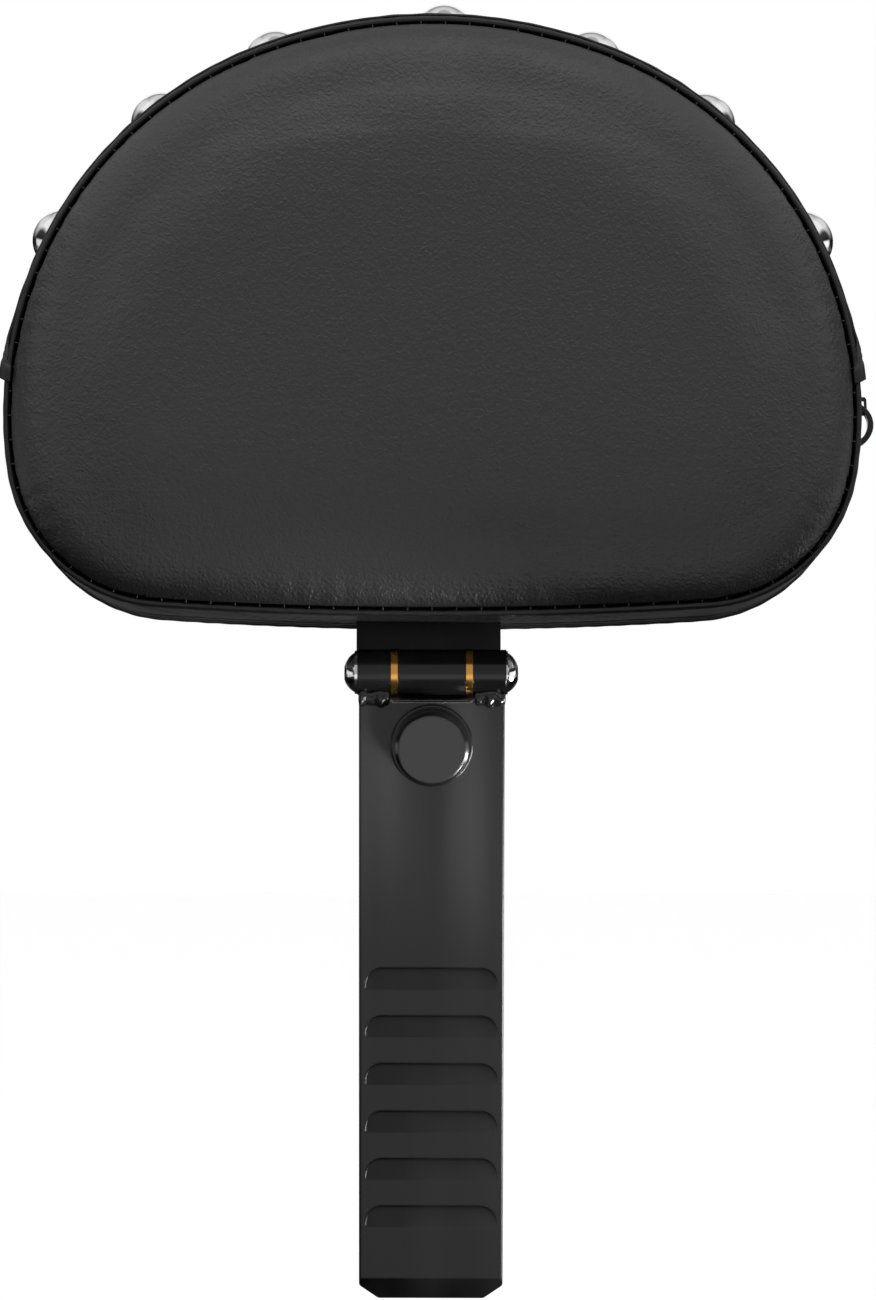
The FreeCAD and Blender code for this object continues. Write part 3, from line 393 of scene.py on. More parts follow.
def tint(tree, shader, mask, first, second):
    """Drive the base colour from a mask, between two colours."""
    mixed = add_node(tree, "ShaderNodeMix",
                     {0: mask, 6: (*first, 1.0), 7: (*second, 1.0)}, data_type="RGBA")
    tree.links.new(mixed.outputs[2], shader.inputs["Base Color"])


def add_bump(tree, shader, height, strength, distance, rounding=0.0):
    """Bump from a height. With a rounding, sharp edges also take the light as if they had that radius."""
    bump = add_node(tree, "ShaderNodeBump", {"Height": height, "Strength": strength, "Distance": distance})
    if rounding:
        softened = add_node(tree, "ShaderNodeBevel", {"Radius": rounding}, samples=6)
        tree.links.new(softened.outputs[0], bump.inputs["Normal"])
    tree.links.new(bump.outputs[0], shader.inputs["Normal"])


def vinyl(name, colour, roughness, cells, depth, shine=0.5):
    """Black vinyl with the pebbled grain: creases tinted darker as painted shade, uneven roughness, and
    bump.
    """
    material, tree, shader = new_material(name, colour, roughness, Specular_IOR_Level=shine)
    grain = use_group(tree, VINYL_GRAIN, Cells=cells)
    # painted shade: the grain's creases are tinted to a darker copy of the colour
    crease_shade_colour = tuple(part * 0.8 for part in colour)
    tint(tree, shader, grain.outputs["CreaseShade"], crease_shade_colour, colour)
    vary(tree, shader, "Roughness", grain.outputs["Mottle"], roughness - 0.08, roughness + 0.08)
    add_bump(tree, shader, grain.outputs["Height"], 0.7, depth)
    return material


def coated(name, colour, roughness, worn, peel=0.00002, coat=0.0, rounding=0.0004, waves=0.0, shine=0.5):
    """Sprayed or moulded black: fine peel, soft streaks, and slightly paler worn edges. With waves, the
    face isn't quite flat, its colour is streaked lighter and darker as painted reflection, and its upper
    edges are painted near-white, a painted highlight that also stands for rubbed bare metal."""
    material, tree, shader = new_material(
        name, colour, roughness, Coat_Weight=coat, Coat_Roughness=0.15, Specular_IOR_Level=shine)
    texture = use_group(tree, FINE_TEXTURE)
    wear_and_highlight = use_group(tree, EDGE_WEAR_AND_HIGHLIGHT)
    tint(tree, shader, wear_and_highlight.outputs["Edge"], colour, worn)
    vary(tree, shader, "Roughness", texture.outputs["Streak"], roughness - 0.08, roughness + 0.08)
    height = texture.outputs["Height"]
    if waves:
        # painted reflection: the face's colour runs darker to lighter along the streak noise, standing in
        # for strips of reflected light
        painted_streaks = add_node(tree, "ShaderNodeMix", {
            0: texture.outputs["Streak"], 6: (*(part * 0.1 for part in colour), 1.0),
            7: (*(part * 2.8 for part in colour), 1.0)}, data_type="RGBA")
        edged = shader.inputs["Base Color"].links[0].from_node
        tree.links.new(painted_streaks.outputs[2], edged.inputs[6])
        # painted highlight: edges that face upwards are tinted near-white, also standing for rubbed bare
        # metal
        top_edge_highlight = add_node(tree, "ShaderNodeMix", {
            0: wear_and_highlight.outputs["Top"], 6: edged.outputs[2], 7: (0.95, 0.95, 0.95, 1.0)}, data_type="RGBA")
        tree.links.new(top_edge_highlight.outputs[2], shader.inputs["Base Color"])
        height = add_node(tree, "ShaderNodeMath", {0: texture.outputs["Streak"], 1: waves, 2: height},
                          operation="MULTIPLY_ADD").outputs[0]
    add_bump(tree, shader, height, 0.5, peel, rounding)
    return material


def metal(name, colour, roughness, peel=0.000006):
    """Bare or plated metal: faint streaks in its polish."""
    material, tree, shader = new_material(name, colour, roughness, metallic=1.0)
    texture = use_group(tree, FINE_TEXTURE, Peel=420.0, Streaks=220.0)
    vary(tree, shader, "Roughness", texture.outputs["Streak"], roughness * 0.6, roughness * 1.5)
    add_bump(tree, shader, texture.outputs["Height"], 0.3, peel)
    return material


def make_plywood():
    """Plies across the board's depth, with grain drawn out along the board."""
    material, tree, shader = new_material("bare_plywood", (0.5, 0.35, 0.2), 0.7)
    place = add_node(tree, "ShaderNodeTexCoord").outputs["Object"]
    leaned = add_node(tree, "ShaderNodeMapping", {"Vector": place, "Rotation": (LEAN, 0, 0)})
    plies = add_node(tree, "ShaderNodeTexWave",
                     {"Vector": leaned.outputs[0], "Scale": 65.0, "Distortion": 0.4},
                     wave_type="BANDS", bands_direction="Y")
    drawn = add_node(tree, "ShaderNodeMapping", {"Vector": place, "Scale": (1.0, 1.0, 0.08)})
    grain = add_node(tree, "ShaderNodeTexNoise",
                     {"Vector": drawn.outputs[0], "Scale": 260.0, "Detail": 4.0})
    tint(tree, shader, plies.outputs["Fac"], (0.30, 0.19, 0.10), (0.56, 0.40, 0.24))
    add_bump(tree, shader, grain.outputs["Fac"], 0.4, 0.0001)
    return material


def make_foam():
    """Open foam: small pale cells."""
    material, tree, shader = new_material("open_foam", (0.72, 0.66, 0.46), 0.9)
    place = add_node(tree, "ShaderNodeTexCoord").outputs["Object"]
    cells = add_node(tree, "ShaderNodeTexVoronoi", {"Vector": place, "Scale": 1400.0})
    tint(tree, shader, cells.outputs["Distance"], (0.5, 0.44, 0.28), (0.74, 0.68, 0.5))
    add_bump(tree, shader, cells.outputs["Distance"], 0.6, 0.0002)
    return material


def make_tape_weave():
    """Woven tape: fine slanting ribs."""
    material, tree, shader = new_material("tape_weave", (0.012, 0.012, 0.013), 0.85, Sheen_Weight=0.25)
    place = add_node(tree, "ShaderNodeTexCoord").outputs["Object"]
    ribs = add_node(tree, "ShaderNodeTexWave", {"Vector": place, "Scale": 900.0, "Distortion": 0.6},
                    wave_type="BANDS", bands_direction="DIAGONAL")
    tint(tree, shader, ribs.outputs["Fac"], (0.006, 0.006, 0.007), (0.02, 0.02, 0.021))
    add_bump(tree, shader, ribs.outputs["Fac"], 0.6, 0.00012)
    return material


cover_vinyl = vinyl("cover_vinyl", (0.011, 0.011, 0.0112), 0.46, 620.0, 0.00034, shine=0.95)
band_vinyl = vinyl("band_vinyl", (0.010, 0.010, 0.0105), 0.42, 700.0, 0.00010)
welt_vinyl = vinyl("welt_vinyl", (0.010, 0.010, 0.0105), 0.36, 1200.0, 0.00006)
black_coat = coated("black_powder_coat", (0.009, 0.009, 0.0095), 0.32, (0.05, 0.05, 0.051), rounding=0.0008,
                    waves=8.0)
gloss_coat = coated("black_gloss_coat", (0.004, 0.004, 0.0043), 0.24, (0.008, 0.008, 0.0085),
                    rounding=0.0005)
# painted shade: a darker, less shiny copy of the gloss coat for the bracket plate that sits in the pad's
# shade
bracket_shaded_coat = coated("bracket_shaded_gloss_coat", (0.003, 0.003, 0.0033), 0.34, (0.008, 0.008, 0.0085),
                      rounding=0.0005, shine=0.26)
weld_coat = coated("coated_weld", (0.008, 0.008, 0.0085), 0.2, (0.03, 0.03, 0.03), peel=0.00012)
knob_black = coated("knob_gloss_black", (0.006, 0.006, 0.0065), 0.2, (0.02, 0.02, 0.02),
                    peel=0.000004, coat=0.5, rounding=0.0010)
zip_black = coated("zip_black_enamel", (0.010, 0.010, 0.011), 0.3, (0.03, 0.03, 0.031), peel=0.000008)
bright_chrome = metal("bright_chrome", (0.86, 0.86, 0.87), 0.07)
bare_bronze = metal("bare_bronze", (0.98, 0.49, 0.12), 0.24)
plain_steel = metal("plain_steel", (0.55, 0.55, 0.56), 0.3)
thread_black = new_material("seam_thread", (0.03, 0.03, 0.031), 0.55)[0]
bare_plywood = make_plywood()
open_foam = make_foam()
tape_weave = make_tape_weave()

NODE_MATERIALS = {
    "post_bar": black_coat, "left_knuckle": gloss_coat, "right_knuckle": gloss_coat,
    "centre_knuckle": gloss_coat, "upper_bracket": bracket_shaded_coat,
    "hinge_pin": plain_steel, "adjuster_screw": plain_steel, "swivel_foot": plain_steel,
    "left_hinge_screw": bright_chrome, "right_hinge_screw": bright_chrome,
    "left_hinge_washer": bright_chrome, "right_hinge_washer": bright_chrome,
    "left_bronze_washer": bare_bronze, "right_bronze_washer": bare_bronze,
    "knob_seat_ring": gloss_coat, "adjuster_knob": knob_black,
    "backing_board": bare_plywood, "foam_pad": open_foam,
    "zipper_slider": zip_black, "zipper_pull": zip_black, "zipper_tape": tape_weave,
    "front_cover": cover_vinyl, "edge_piping": welt_vinyl, "side_boxing": band_vinyl,
    "rear_pouch": band_vinyl, "rear_piping": welt_vinyl, "stud_flap": band_vinyl,
}
for name, node in nodes.items():
    if name.startswith("dome_stud"):
        material = bright_chrome
    elif name.startswith("bracket_screw") or name.startswith("tee_nut"):
        material = plain_steel
    else:
        material = NODE_MATERIALS[name]
    if node.material_slots:
        for place in node.material_slots:
            place.material = material
    else:
        node.data.materials.append(material)


# Cushioned pieces: a closed form, simulated with air pressure inside, then finished at its seam

CROWN_SPAN = 60.0
CROWN_FULLNESS = 0.955
VOXEL = 0.004
CLOTH_STEPS = 20
EVEN_ROUNDS = 24


def crown_share(inwards):
    """Share of the crown's height at a distance in from the seam: the root of one less the cube of what
    is left of the span, so it rises steeply and then flattens."""
    left = 1 - np.clip(inwards / CROWN_SPAN, 0.0, 1.0)
    return CROWN_FULLNESS * np.sqrt(1 - left ** 3)


def cushion_mesh(name, rows):
    """A closed cushion: rows of (growth, shrink about the pad's middle, depth), each a whole outline, from
    the middle of one side round to the middle of the other."""
    headings = even_headings(280, closed=True)
    growth, shrink, depth = (np.array(column)[:, None] for column in zip(*rows))
    x, z = outline(headings[None, :], growth)
    height = PAD_MIDDLE + (z - PAD_MIDDLE) * shrink
    points = np.stack((x * shrink, np.broadcast_to(depth, x.shape), height), -1)
    return grid_mesh(name, pad_to_row(points), ends="fan")


def crown_rows(seam, depth, rise, way):
    """Rows from a seam to the middle of a crowned panel."""
    inwards = np.array((0.0, 0.4, 1.2, 2.5, 4.5, 7.5, 12.0, 18.0, 26.0, 35.0, 44.0))
    rows = [(seam - step, 1.0, depth + way * rise * crown_share(step)) for step in inwards]
    rows += [(seam - 44.0, share, depth + way * rise * high)
             for share, high in ((0.8, 0.972), (0.6, 0.985), (0.35, 0.995), (0.12, 1.0))]
    return rows


def positions(mesh):
    """A mesh's points as rows of x, y, z."""
    found = np.empty(len(mesh.vertices) * 3)
    mesh.vertices.foreach_get("co", found)
    return found.reshape(-1, 3)


def set_positions(mesh, points):
    """Put rows of x, y, z into a mesh."""
    mesh.vertices.foreach_set("co", np.asarray(points).ravel())
    mesh.update()


def bake_modifiers(piece):
    """Replace the piece's mesh by what its modifiers make of it."""
    evaluated = piece.evaluated_get(bpy.context.evaluated_depsgraph_get())
    mesh = bpy.data.meshes.new_from_object(evaluated)
    piece.modifiers.clear()
    piece.data = mesh


def even_out(mesh, values, rounds):
    """Half of each point's value and half of its neighbours' mean, a number of times over."""
    pairs = np.empty(len(mesh.edges) * 2, dtype=int)
    mesh.edges.foreach_get("vertices", pairs)
    first, second = pairs.reshape(-1, 2).T
    count = np.bincount(pairs, minlength=len(values))[:, None]
    for _ in range(rounds):
        total = np.zeros_like(values)
        np.add.at(total, first, values[second])
        np.add.at(total, second, values[first])
        values = 0.5 * values + 0.5 * total / count
    return values


def inflate(piece, still, cap, pressure=4.0):
    """Remesh the form evenly, blow it up as cloth with the still points held, and keep the result with no
    point further than the cap from where it started, in millimetres."""
    remesh = piece.modifiers.new("even_mesh", "REMESH")
    remesh.mode = "VOXEL"
    remesh.voxel_size = VOXEL
    bake_modifiers(piece)
    start = positions(piece.data)
    held = piece.vertex_groups.new(name="held")
    held.add(np.flatnonzero(still(row_to_pad(start))).tolist(), 1.0, "REPLACE")
    cloth = piece.modifiers.new("air", "CLOTH")
    cloth.settings.quality = 5
    cloth.settings.mass = 0.3
    cloth.settings.tension_stiffness = 15
    cloth.settings.compression_stiffness = 15
    cloth.settings.bending_stiffness = 2.0
    cloth.settings.use_pressure = True
    cloth.settings.uniform_pressure_force = pressure
    cloth.settings.effector_weights.gravity = 0
    cloth.settings.vertex_group_mass = "held"
    cloth.collision_settings.use_collision = False
    for step in range(1, CLOTH_STEPS + 1):
        scene.frame_set(step)
    blown = piece.evaluated_get(bpy.context.evaluated_depsgraph_get())
    moved = positions(blown.to_mesh()) - start
    blown.to_mesh_clear()
    piece.modifiers.clear()
    piece.vertex_groups.clear()
    scene.frame_set(1)
    moved = even_out(piece.data, moved, EVEN_ROUNDS)
    reach = np.linalg.norm(moved, axis=1, keepdims=True)
    limit = cap / 1000
    soft = limit * np.tanh(reach / limit)
    set_positions(piece.data, start + moved * soft / np.maximum(reach, 1e-9))
    finer = piece.modifiers.new("finer", "SUBSURF")
    finer.levels = finer.render_levels = 1
    bake_modifiers(piece)


def finish_seam(piece, seam, depth, rise, way):
    """Bring the panel's edge exactly to its seam, with a small pucker at each stitch: near the seam the
    depth is the crown's own formula, less a dip that repeats along the seam and fades inwards."""
    points = row_to_pad(positions(piece.data))
    heading, growth = from_seam(points[:, 0], points[:, 2])
    run = seam_run(heading)
    inwards = np.maximum(seam - growth, 0.0)
    panel = way * (points[:, 1] - depth) > -0.4
    wave = np.cos(run / STITCH_STEP * 2 * math.pi)
    pucker = 0.06 * wave * np.exp(-((inwards - 1.8) / 2.2) ** 2)
    gather = 0.07 * ripple(run, 7, 46) * np.exp(-((inwards - 6.0) / 6.0) ** 2)
    exact = depth + way * (rise * crown_share(inwards) + pucker)
    blend = 1 - smooth_step(inwards, 2.0, 24.0)
    points[:, 1] = np.where(panel, points[:, 1] * (1 - blend) + exact * blend + way * gather, points[:, 1])
    over = np.where(panel, np.maximum(growth - seam, 0.0), 0.0)
    points[:, 0] -= over * np.sin(heading)
    points[:, 2] -= over * np.cos(heading)
    set_positions(piece.data, pad_to_row(points))


def make_front_cushion():
    """The covered foam: flat against the board, and crowned towards the rider."""
    depth = SEAM_DEPTH + 0.5
    rows = [(-0.2, 0.1, -4.6), (-0.2, 0.6, -4.6), (-0.8, 1.0, -4.6), (-0.2, 1.0, -6.0), (-0.2, 1.0, -16.0),
            (-0.2, 1.0, -27.0), (-0.5, 1.0, -28.2)]
    rows += crown_rows(-0.5, depth, 15.6, -1.0)
    mesh = cushion_mesh("rider_cushion", rows)
    piece = add_object("rider_cushion", mesh, "pad", cover_vinyl)

    def still(points):
        _, growth = from_seam(points[:, 0], points[:, 2])
        return (points[:, 1] > depth - 1.0) | (growth > -3.0)

    inflate(piece, still, 1.2)
    finish_seam(piece, -0.3, depth, 16.5, -1.0)
    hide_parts("front_cover", "foam_pad")


def make_rear_cushion():
    """The closed pouch: a straight side behind the board's edge, and a crowned back panel."""
    depth = 29.9
    rows = [(0.0, 0.1, 14.6), (0.0, 0.6, 14.6), (0.8, 1.0, 14.6), (1.5, 1.0, 15.2), (1.6, 1.0, 20.0),
            (1.6, 1.0, 27.3), (0.6, 1.0, 28.7), (-0.4, 1.0, 29.0)]
    rows += crown_rows(-0.5, depth, 7.0, 1.0)
    mesh = cushion_mesh("storage_pouch", rows)
    piece = add_object("storage_pouch", mesh, "pad", band_vinyl)

    def still(points):
        _, growth = from_seam(points[:, 0], points[:, 2])
        return (points[:, 1] < 17.5) | (growth > -3.0)

    inflate(piece, still, 2.0, pressure=3.0)
    finish_seam(piece, -0.3, depth, 8.0, 1.0)
    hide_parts("rear_pouch")


make_front_cushion()
make_rear_cushion()


# Sewn edges


def make_welt(name, node, depth, seed):
    """A rolled welt along a seam: a circle of uneven radius, pinched a little at every stitch."""
    headings = even_headings(1240, closed=True)
    run = seam_run(headings)[:, None]
    turn = np.linspace(0, 2 * math.pi, 14, endpoint=False)[None, :]
    pinch = 0.05 * np.cos(run / STITCH_STEP * 2 * math.pi)
    radius = WELT_RADIUS * (0.98 - pinch + 0.02 * ripple(run, seed, 60))
    growth = WELT_RADIUS + radius * np.cos(turn)
    section = depth + radius * np.sin(turn) + 0.08 * ripple(run, seed + 1, 24)
    mesh = grid_mesh(name, pad_to_row(band_points(headings, growth, section)), round_first=True)
    piece = add_object(name, mesh, "pad", welt_vinyl)
    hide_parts(node)


def make_stitches(name, depth, way):
    """Threads that cross the gap between a panel's edge and its welt, one at every step of the seam."""
    count = int(round(SEAM_LENGTH / STITCH_STEP))
    headings = even_headings(count, closed=True)
    growth = np.full(count, -0.15)
    x, z = outline(headings, growth)
    level = np.full(count, depth)
    lowered = np.full(count, depth - way * 0.35)
    sine, cosine = np.sin(headings), np.cos(headings)
    places = pad_to_row(np.stack((x, level, z), axis=-1))
    along = pad_to_row(np.stack((x + sine, lowered, z + cosine), -1)) - places
    across = pad_to_row(np.stack((x + cosine, level, z - sine), -1)) - places
    ahead = np.cross(along, across)
    ahead /= np.linalg.norm(ahead, axis=1, keepdims=True) * 1000
    shape, faces = capsule(0.28, 1.5)
    mesh = copies_mesh(name, shape, faces, places, across, along, ahead)
    add_object(name, mesh, "pad", thread_black)


make_welt("front_welt", "edge_piping", -29.2, 11)
make_welt("rear_welt", "rear_piping", 30.3, 13)
make_stitches("front_stitches", SEAM_DEPTH - 0.9, -1.0)
make_stitches("rear_stitches", 30.0, 1.0)


# Side band, zipper and studded flap

ZIP_LOW_LEFT = -side_heading(ZIPPER_LEFT_HEIGHT)
ZIP_LOW_RIGHT = side_heading(ZIPPER_RIGHT_HEIGHT)


def make_side_band():
    """The sewn band round the pad: outer face, back edge and inner face as one loop. Its back edge steps
    forward above the zipper and where the bracket goes in; it puckers between the seams, most where
    the bracket pulls at it."""
    headings = even_headings(1300, closed=True)
    run = seam_run(headings)[:, None]
    x, z = outline(headings, 0.0)
    back = np.full(len(headings), 13.7)
    back[(headings > ZIP_LOW_LEFT) & (headings < ZIP_LOW_RIGHT)] = 2.8
    back[(np.abs(x + 1.2) < 25.4) & (z < 40.0)] = 7.5
    share = np.concatenate((np.linspace(0, 1, 16), np.linspace(1, 0, 6)))[None, :]
    outer = np.concatenate((np.ones(16), np.zeros(6)))[None, :]
    depth = BAND_FRONT + share * (back[:, None] - BAND_FRONT)
    ends = 1 - np.clip(np.minimum(share, 1 - share) / 0.06, 0, 1)
    lower = smooth_step(-z, -34.0, -22.0)[:, None] * np.exp(-((x + 4.0) / 62.0) ** 2)[:, None]
    middle = np.sin(np.clip(share, 0, 1) * math.pi) ** 0.6
    hem = 0.55 * np.exp(-((depth + 24.9) / 0.8) ** 2) - 0.3 * np.exp(-((depth + 26.6) / 0.5) ** 2)
    pucker = 0.12 * ripple(run + depth * 0.6, 21, 70) + 0.34 * lower * ripple(run + depth * 1.4, 23, 95)
    growth = np.where(outer > 0, BAND_OUT - 0.1 - 0.35 * ends + hem + middle * (pucker - 0.1), 0.35)
    mesh = grid_mesh("side_band", pad_to_row(band_points(headings, growth, depth)), round_first=True)
    piece = add_object("side_band", mesh, "pad", band_vinyl)
    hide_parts("side_boxing")


def make_zipper():
    """The zipper's two tapes as one strip, and its closed teeth as a row of small blocks along it."""
    headings = even_headings(700, ZIP_LOW_LEFT, ZIP_LOW_RIGHT)
    growth = np.array((1.3, 1.3, 1.3, 1.3, 0.6, 0.6))[None, :]
    depth = np.array((3.4, 6.5, 10.5, 13.6, 13.6, 3.4))[None, :]
    mesh = grid_mesh("zipper_strip", pad_to_row(band_points(headings, growth, depth)))
    strip = add_object("zipper_strip", mesh, "pad", tape_weave, smooth=False)
    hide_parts("zipper_tape")

    count = 2 * int((seam_run(ZIP_LOW_RIGHT) - seam_run(ZIP_LOW_LEFT)) / TOOTH_STEP)
    headings = even_headings(count, ZIP_LOW_LEFT + 0.01, ZIP_LOW_RIGHT - 0.01)
    middle = ZIPPER_DEPTH + np.where(np.arange(count) % 2 == 0, 0.45, -0.45)
    x, z = outline(headings, np.full(count, 1.58))
    places = pad_to_row(np.stack((x, middle, z), -1))
    along = pad_to_row(np.stack((x + np.cos(headings), middle, z - np.sin(headings)), -1)) - places
    across = pad_to_row(np.stack((x, middle + 1, z), -1)) - places
    out = np.cross(across, along)
    out /= np.linalg.norm(out, axis=1, keepdims=True) * 1000
    corner = np.array([(a, b, c) for c in (-1, 1) for a, b in ((-1, -1), (1, -1), (1, 1), (-1, 1))], float)
    taper = np.where(corner[:, 2:] > 0, 0.8, 1.0)
    shape = corner * (1.25, 0.42, 0.3) * np.concatenate((taper, taper, np.ones_like(taper)), axis=1)
    faces = [(0, 1, 2, 3), (4, 5, 6, 7), (0, 1, 5, 4), (1, 2, 6, 5), (2, 3, 7, 6), (3, 0, 4, 7)]
    mesh = copies_mesh("zipper_teeth", shape, faces, places, across, along, out)
    add_object("zipper_teeth", mesh, "pad", zip_black, smooth=False)


def along_section(corners, count):
    """Points at even steps along a closed section given by its (growth, depth) corners."""
    loop = np.array(corners + corners[:1], dtype=float)
    run = np.concatenate(([0.0], np.cumsum(np.hypot(*np.diff(loop, axis=0).T))))
    steps = np.linspace(0.0, run[-1], count, endpoint=False)
    return np.interp(steps, run, loop[:, 0]), np.interp(steps, run, loop[:, 1])


def make_flap():
    """The studded flap: a folded strip behind the welt. Its section is a flat loop; over the last stretch
    at each end it turns into a hook whose lip covers the welt, creases across, and is cut on a slant."""
    end = side_heading(FLAP_END_HEIGHT)
    headings = even_headings(700, -end, end)
    run = seam_run(headings)
    from_end = np.minimum(run - run[0], run[-1] - run)[:, None]
    front, back = FLAP_FRONT, FLAP_BACK
    plain = [(FLAP_OUT, back), (FLAP_OUT, front + 0.7), (FLAP_OUT - 0.25, front + 0.15), (2.7, front),
             (FLAP_IN + 0.2, front + 0.15), (FLAP_IN, front + 0.7), (FLAP_IN, back)]
    hooked = [(FLAP_OUT, back), (FLAP_OUT + 0.1, front), (FLAP_OUT, -30.0), (FLAP_OUT - 0.6, -31.0),
              (1.2, -31.3), (0.2, -31.1), (0.0, -30.7), (0.9, -30.6), (2.35, -30.2), (2.4, front),
              (FLAP_IN, back)]
    plain_growth, plain_depth = along_section(plain, 120)
    hooked_growth, hooked_depth = along_section(hooked, 120)
    hook = 1 - smooth_step(from_end, 3.5, 15.0)
    growth = plain_growth * (1 - hook) + hooked_growth * hook
    depth = plain_depth * (1 - hook) + hooked_depth * hook
    outer = smooth_step(growth, 2.7, 3.2)
    hem = smooth_step(depth, front + 2.6, front + 3.4) * (1 - smooth_step(depth, front + 3.8, front + 4.6))
    wave = 0.10 * ripple(run[:, None] + depth * 0.3, 31, 40)
    top = np.cos(np.clip(headings, -1.5, 1.5))[:, None] ** 2
    stand_out = 0.25 + 0.95 * (1 - smooth_step(from_end, 1.0, 26.0))
    dents = np.exp(-((from_end - 7.2) / 0.9) ** 2) + 0.6 * np.exp(-((from_end - 9.6) / 0.7) ** 2)
    growth = growth + outer * (wave - 0.22 * hem) + np.maximum(0.95 * top - 0.5, -0.35)
    growth = growth + smooth_step(growth, 0.6, 2.2) * (stand_out - 0.3 * dents) * (1 - top)
    depth = depth + 0.45 * dents * (1 - smooth_step(depth, -30.6, -28.0))
    points = band_points(headings, growth, depth)
    fade = 1 - smooth_step(from_end, 0.0, 30.0)
    slant = 7.0 * (depth - front) / (back - front) + 0.55 * np.clip(growth - 1.0, 0.0, 4.5)
    points[..., 2] += np.where(depth < front, slant * 0.8, slant) * fade
    mesh = grid_mesh("studded_flap", pad_to_row(points))
    piece = add_object("studded_flap", mesh, "pad", band_vinyl)
    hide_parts("stud_flap")


make_side_band()
make_zipper()
make_flap()


# Welds: rippled beads between the outer knuckles and the post's shoulders, and along the bracket


def make_bead(name, body, first, last, wide, high, tilt, seed):
    """A weld bead along X: an ellipse whose size steps with each ripple and fades at both ends."""
    length = last[0] - first[0]
    share = np.linspace(0, 1, 120)[:, None]
    turn = np.linspace(0, 2 * math.pi, 20, endpoint=False)[None, :]
    rng = np.random.default_rng(seed)
    ripples = 0.5 + 0.5 * np.abs(np.sin(share * length / 1.6 * math.pi / 2 + rng.uniform(0, 3)))
    uneven = 0.14 * np.sin(share * 9 + rng.uniform(0, 6))
    uneven = uneven + 0.12 * np.sin(share * 17 + rng.uniform(0, 6)) * np.sin(2 * turn + rng.uniform(0, 6))
    end = np.sqrt(np.clip(1 - (2 * share - 1) ** 16, 0.02, 1))
    size = end * (0.78 + 0.22 * ripples + uneven)
    y = wide * size * np.cos(turn)
    z = high * size * np.sin(turn)
    line = np.asarray(first) + share * (np.asarray(last) - np.asarray(first))
    points = np.stack((
        line[:, :1] + 0 * y,
        line[:, 1:2] + y * math.cos(tilt) - z * math.sin(tilt),
        line[:, 2:] + y * math.sin(tilt) + z * math.cos(tilt),
    ), axis=-1)
    place = pad_to_row if body == "pad" else hinge_to_row
    mesh = grid_mesh(name, place(points), ends="fan")
    add_object(name, mesh, body, weld_coat)


make_bead("left_front_weld", "post", (-25.6, -4.8, -8.5), (-14.6, -4.8, -8.5), 1.7, 3.0, 0.2, 3)
make_bead("right_front_weld", "post", (14.8, -4.8, -8.5), (25.7, -4.8, -8.5), 1.8, 3.1, 0.2, 4)
make_bead("left_rear_weld", "post", (-25.2, 5.3, -8.8), (-11.4, 5.3, -8.8), 1.1, 1.6, -0.2, 5)
make_bead("right_rear_weld", "post", (11.4, 5.3, -8.8), (25.2, 5.3, -8.8), 1.2, 1.6, -0.2, 6)
make_bead("bracket_upper_weld", "pad", (-11.2, 7.6, 5.0), (11.2, 7.6, 5.0), 1.1, 2.0, 0.5, 8)


# Camera, light and surroundings


def ramp(tree, value, first, last, low, high):
    """A soft step of a value, from low at the first place to high at the last."""
    return add_node(tree, "ShaderNodeMapRange",
                    {"Value": value, "From Min": first, "From Max": last, "To Min": low, "To Max": high},
                    interpolation_type="SMOOTHSTEP").outputs[0]


def combine(tree, first, second, how):
    """One value from two, by the named operation."""
    return add_node(tree, "ShaderNodeMath", {0: first, 1: second}, operation=how).outputs[0]


def background_seen(tree):
    """1 for camera, mirror and glass rays, 0 for the rays that carry light."""
    ray = add_node(tree, "ShaderNodeLightPath")
    seen = add_node(tree, "ShaderNodeMath",
                    {0: ray.outputs["Is Camera Ray"], 1: ray.outputs["Is Glossy Ray"]}, operation="MAXIMUM")
    seen = add_node(tree, "ShaderNodeMath",
                    {0: seen.outputs[0], 1: ray.outputs["Is Transmission Ray"]}, operation="MAXIMUM")
    return seen.outputs[0], ray.outputs["Is Camera Ray"]


def make_backdrop_paper():
    """White paper that camera and mirrors see as plain white."""
    material, tree, shader = new_material("backdrop_paper", (0.9, 0.9, 0.9), 0.9)
    glow = add_node(tree, "ShaderNodeEmission", {"Color": (1.0, 1.0, 1.0, 1.0), "Strength": 1.0})
    seen, _ = background_seen(tree)
    both = add_node(tree, "ShaderNodeMixShader", {0: seen, 1: shader.outputs[0], 2: glow.outputs[0]})
    tree.links.new(both.outputs[0], tree.nodes["Material Output"].inputs["Surface"])
    return material


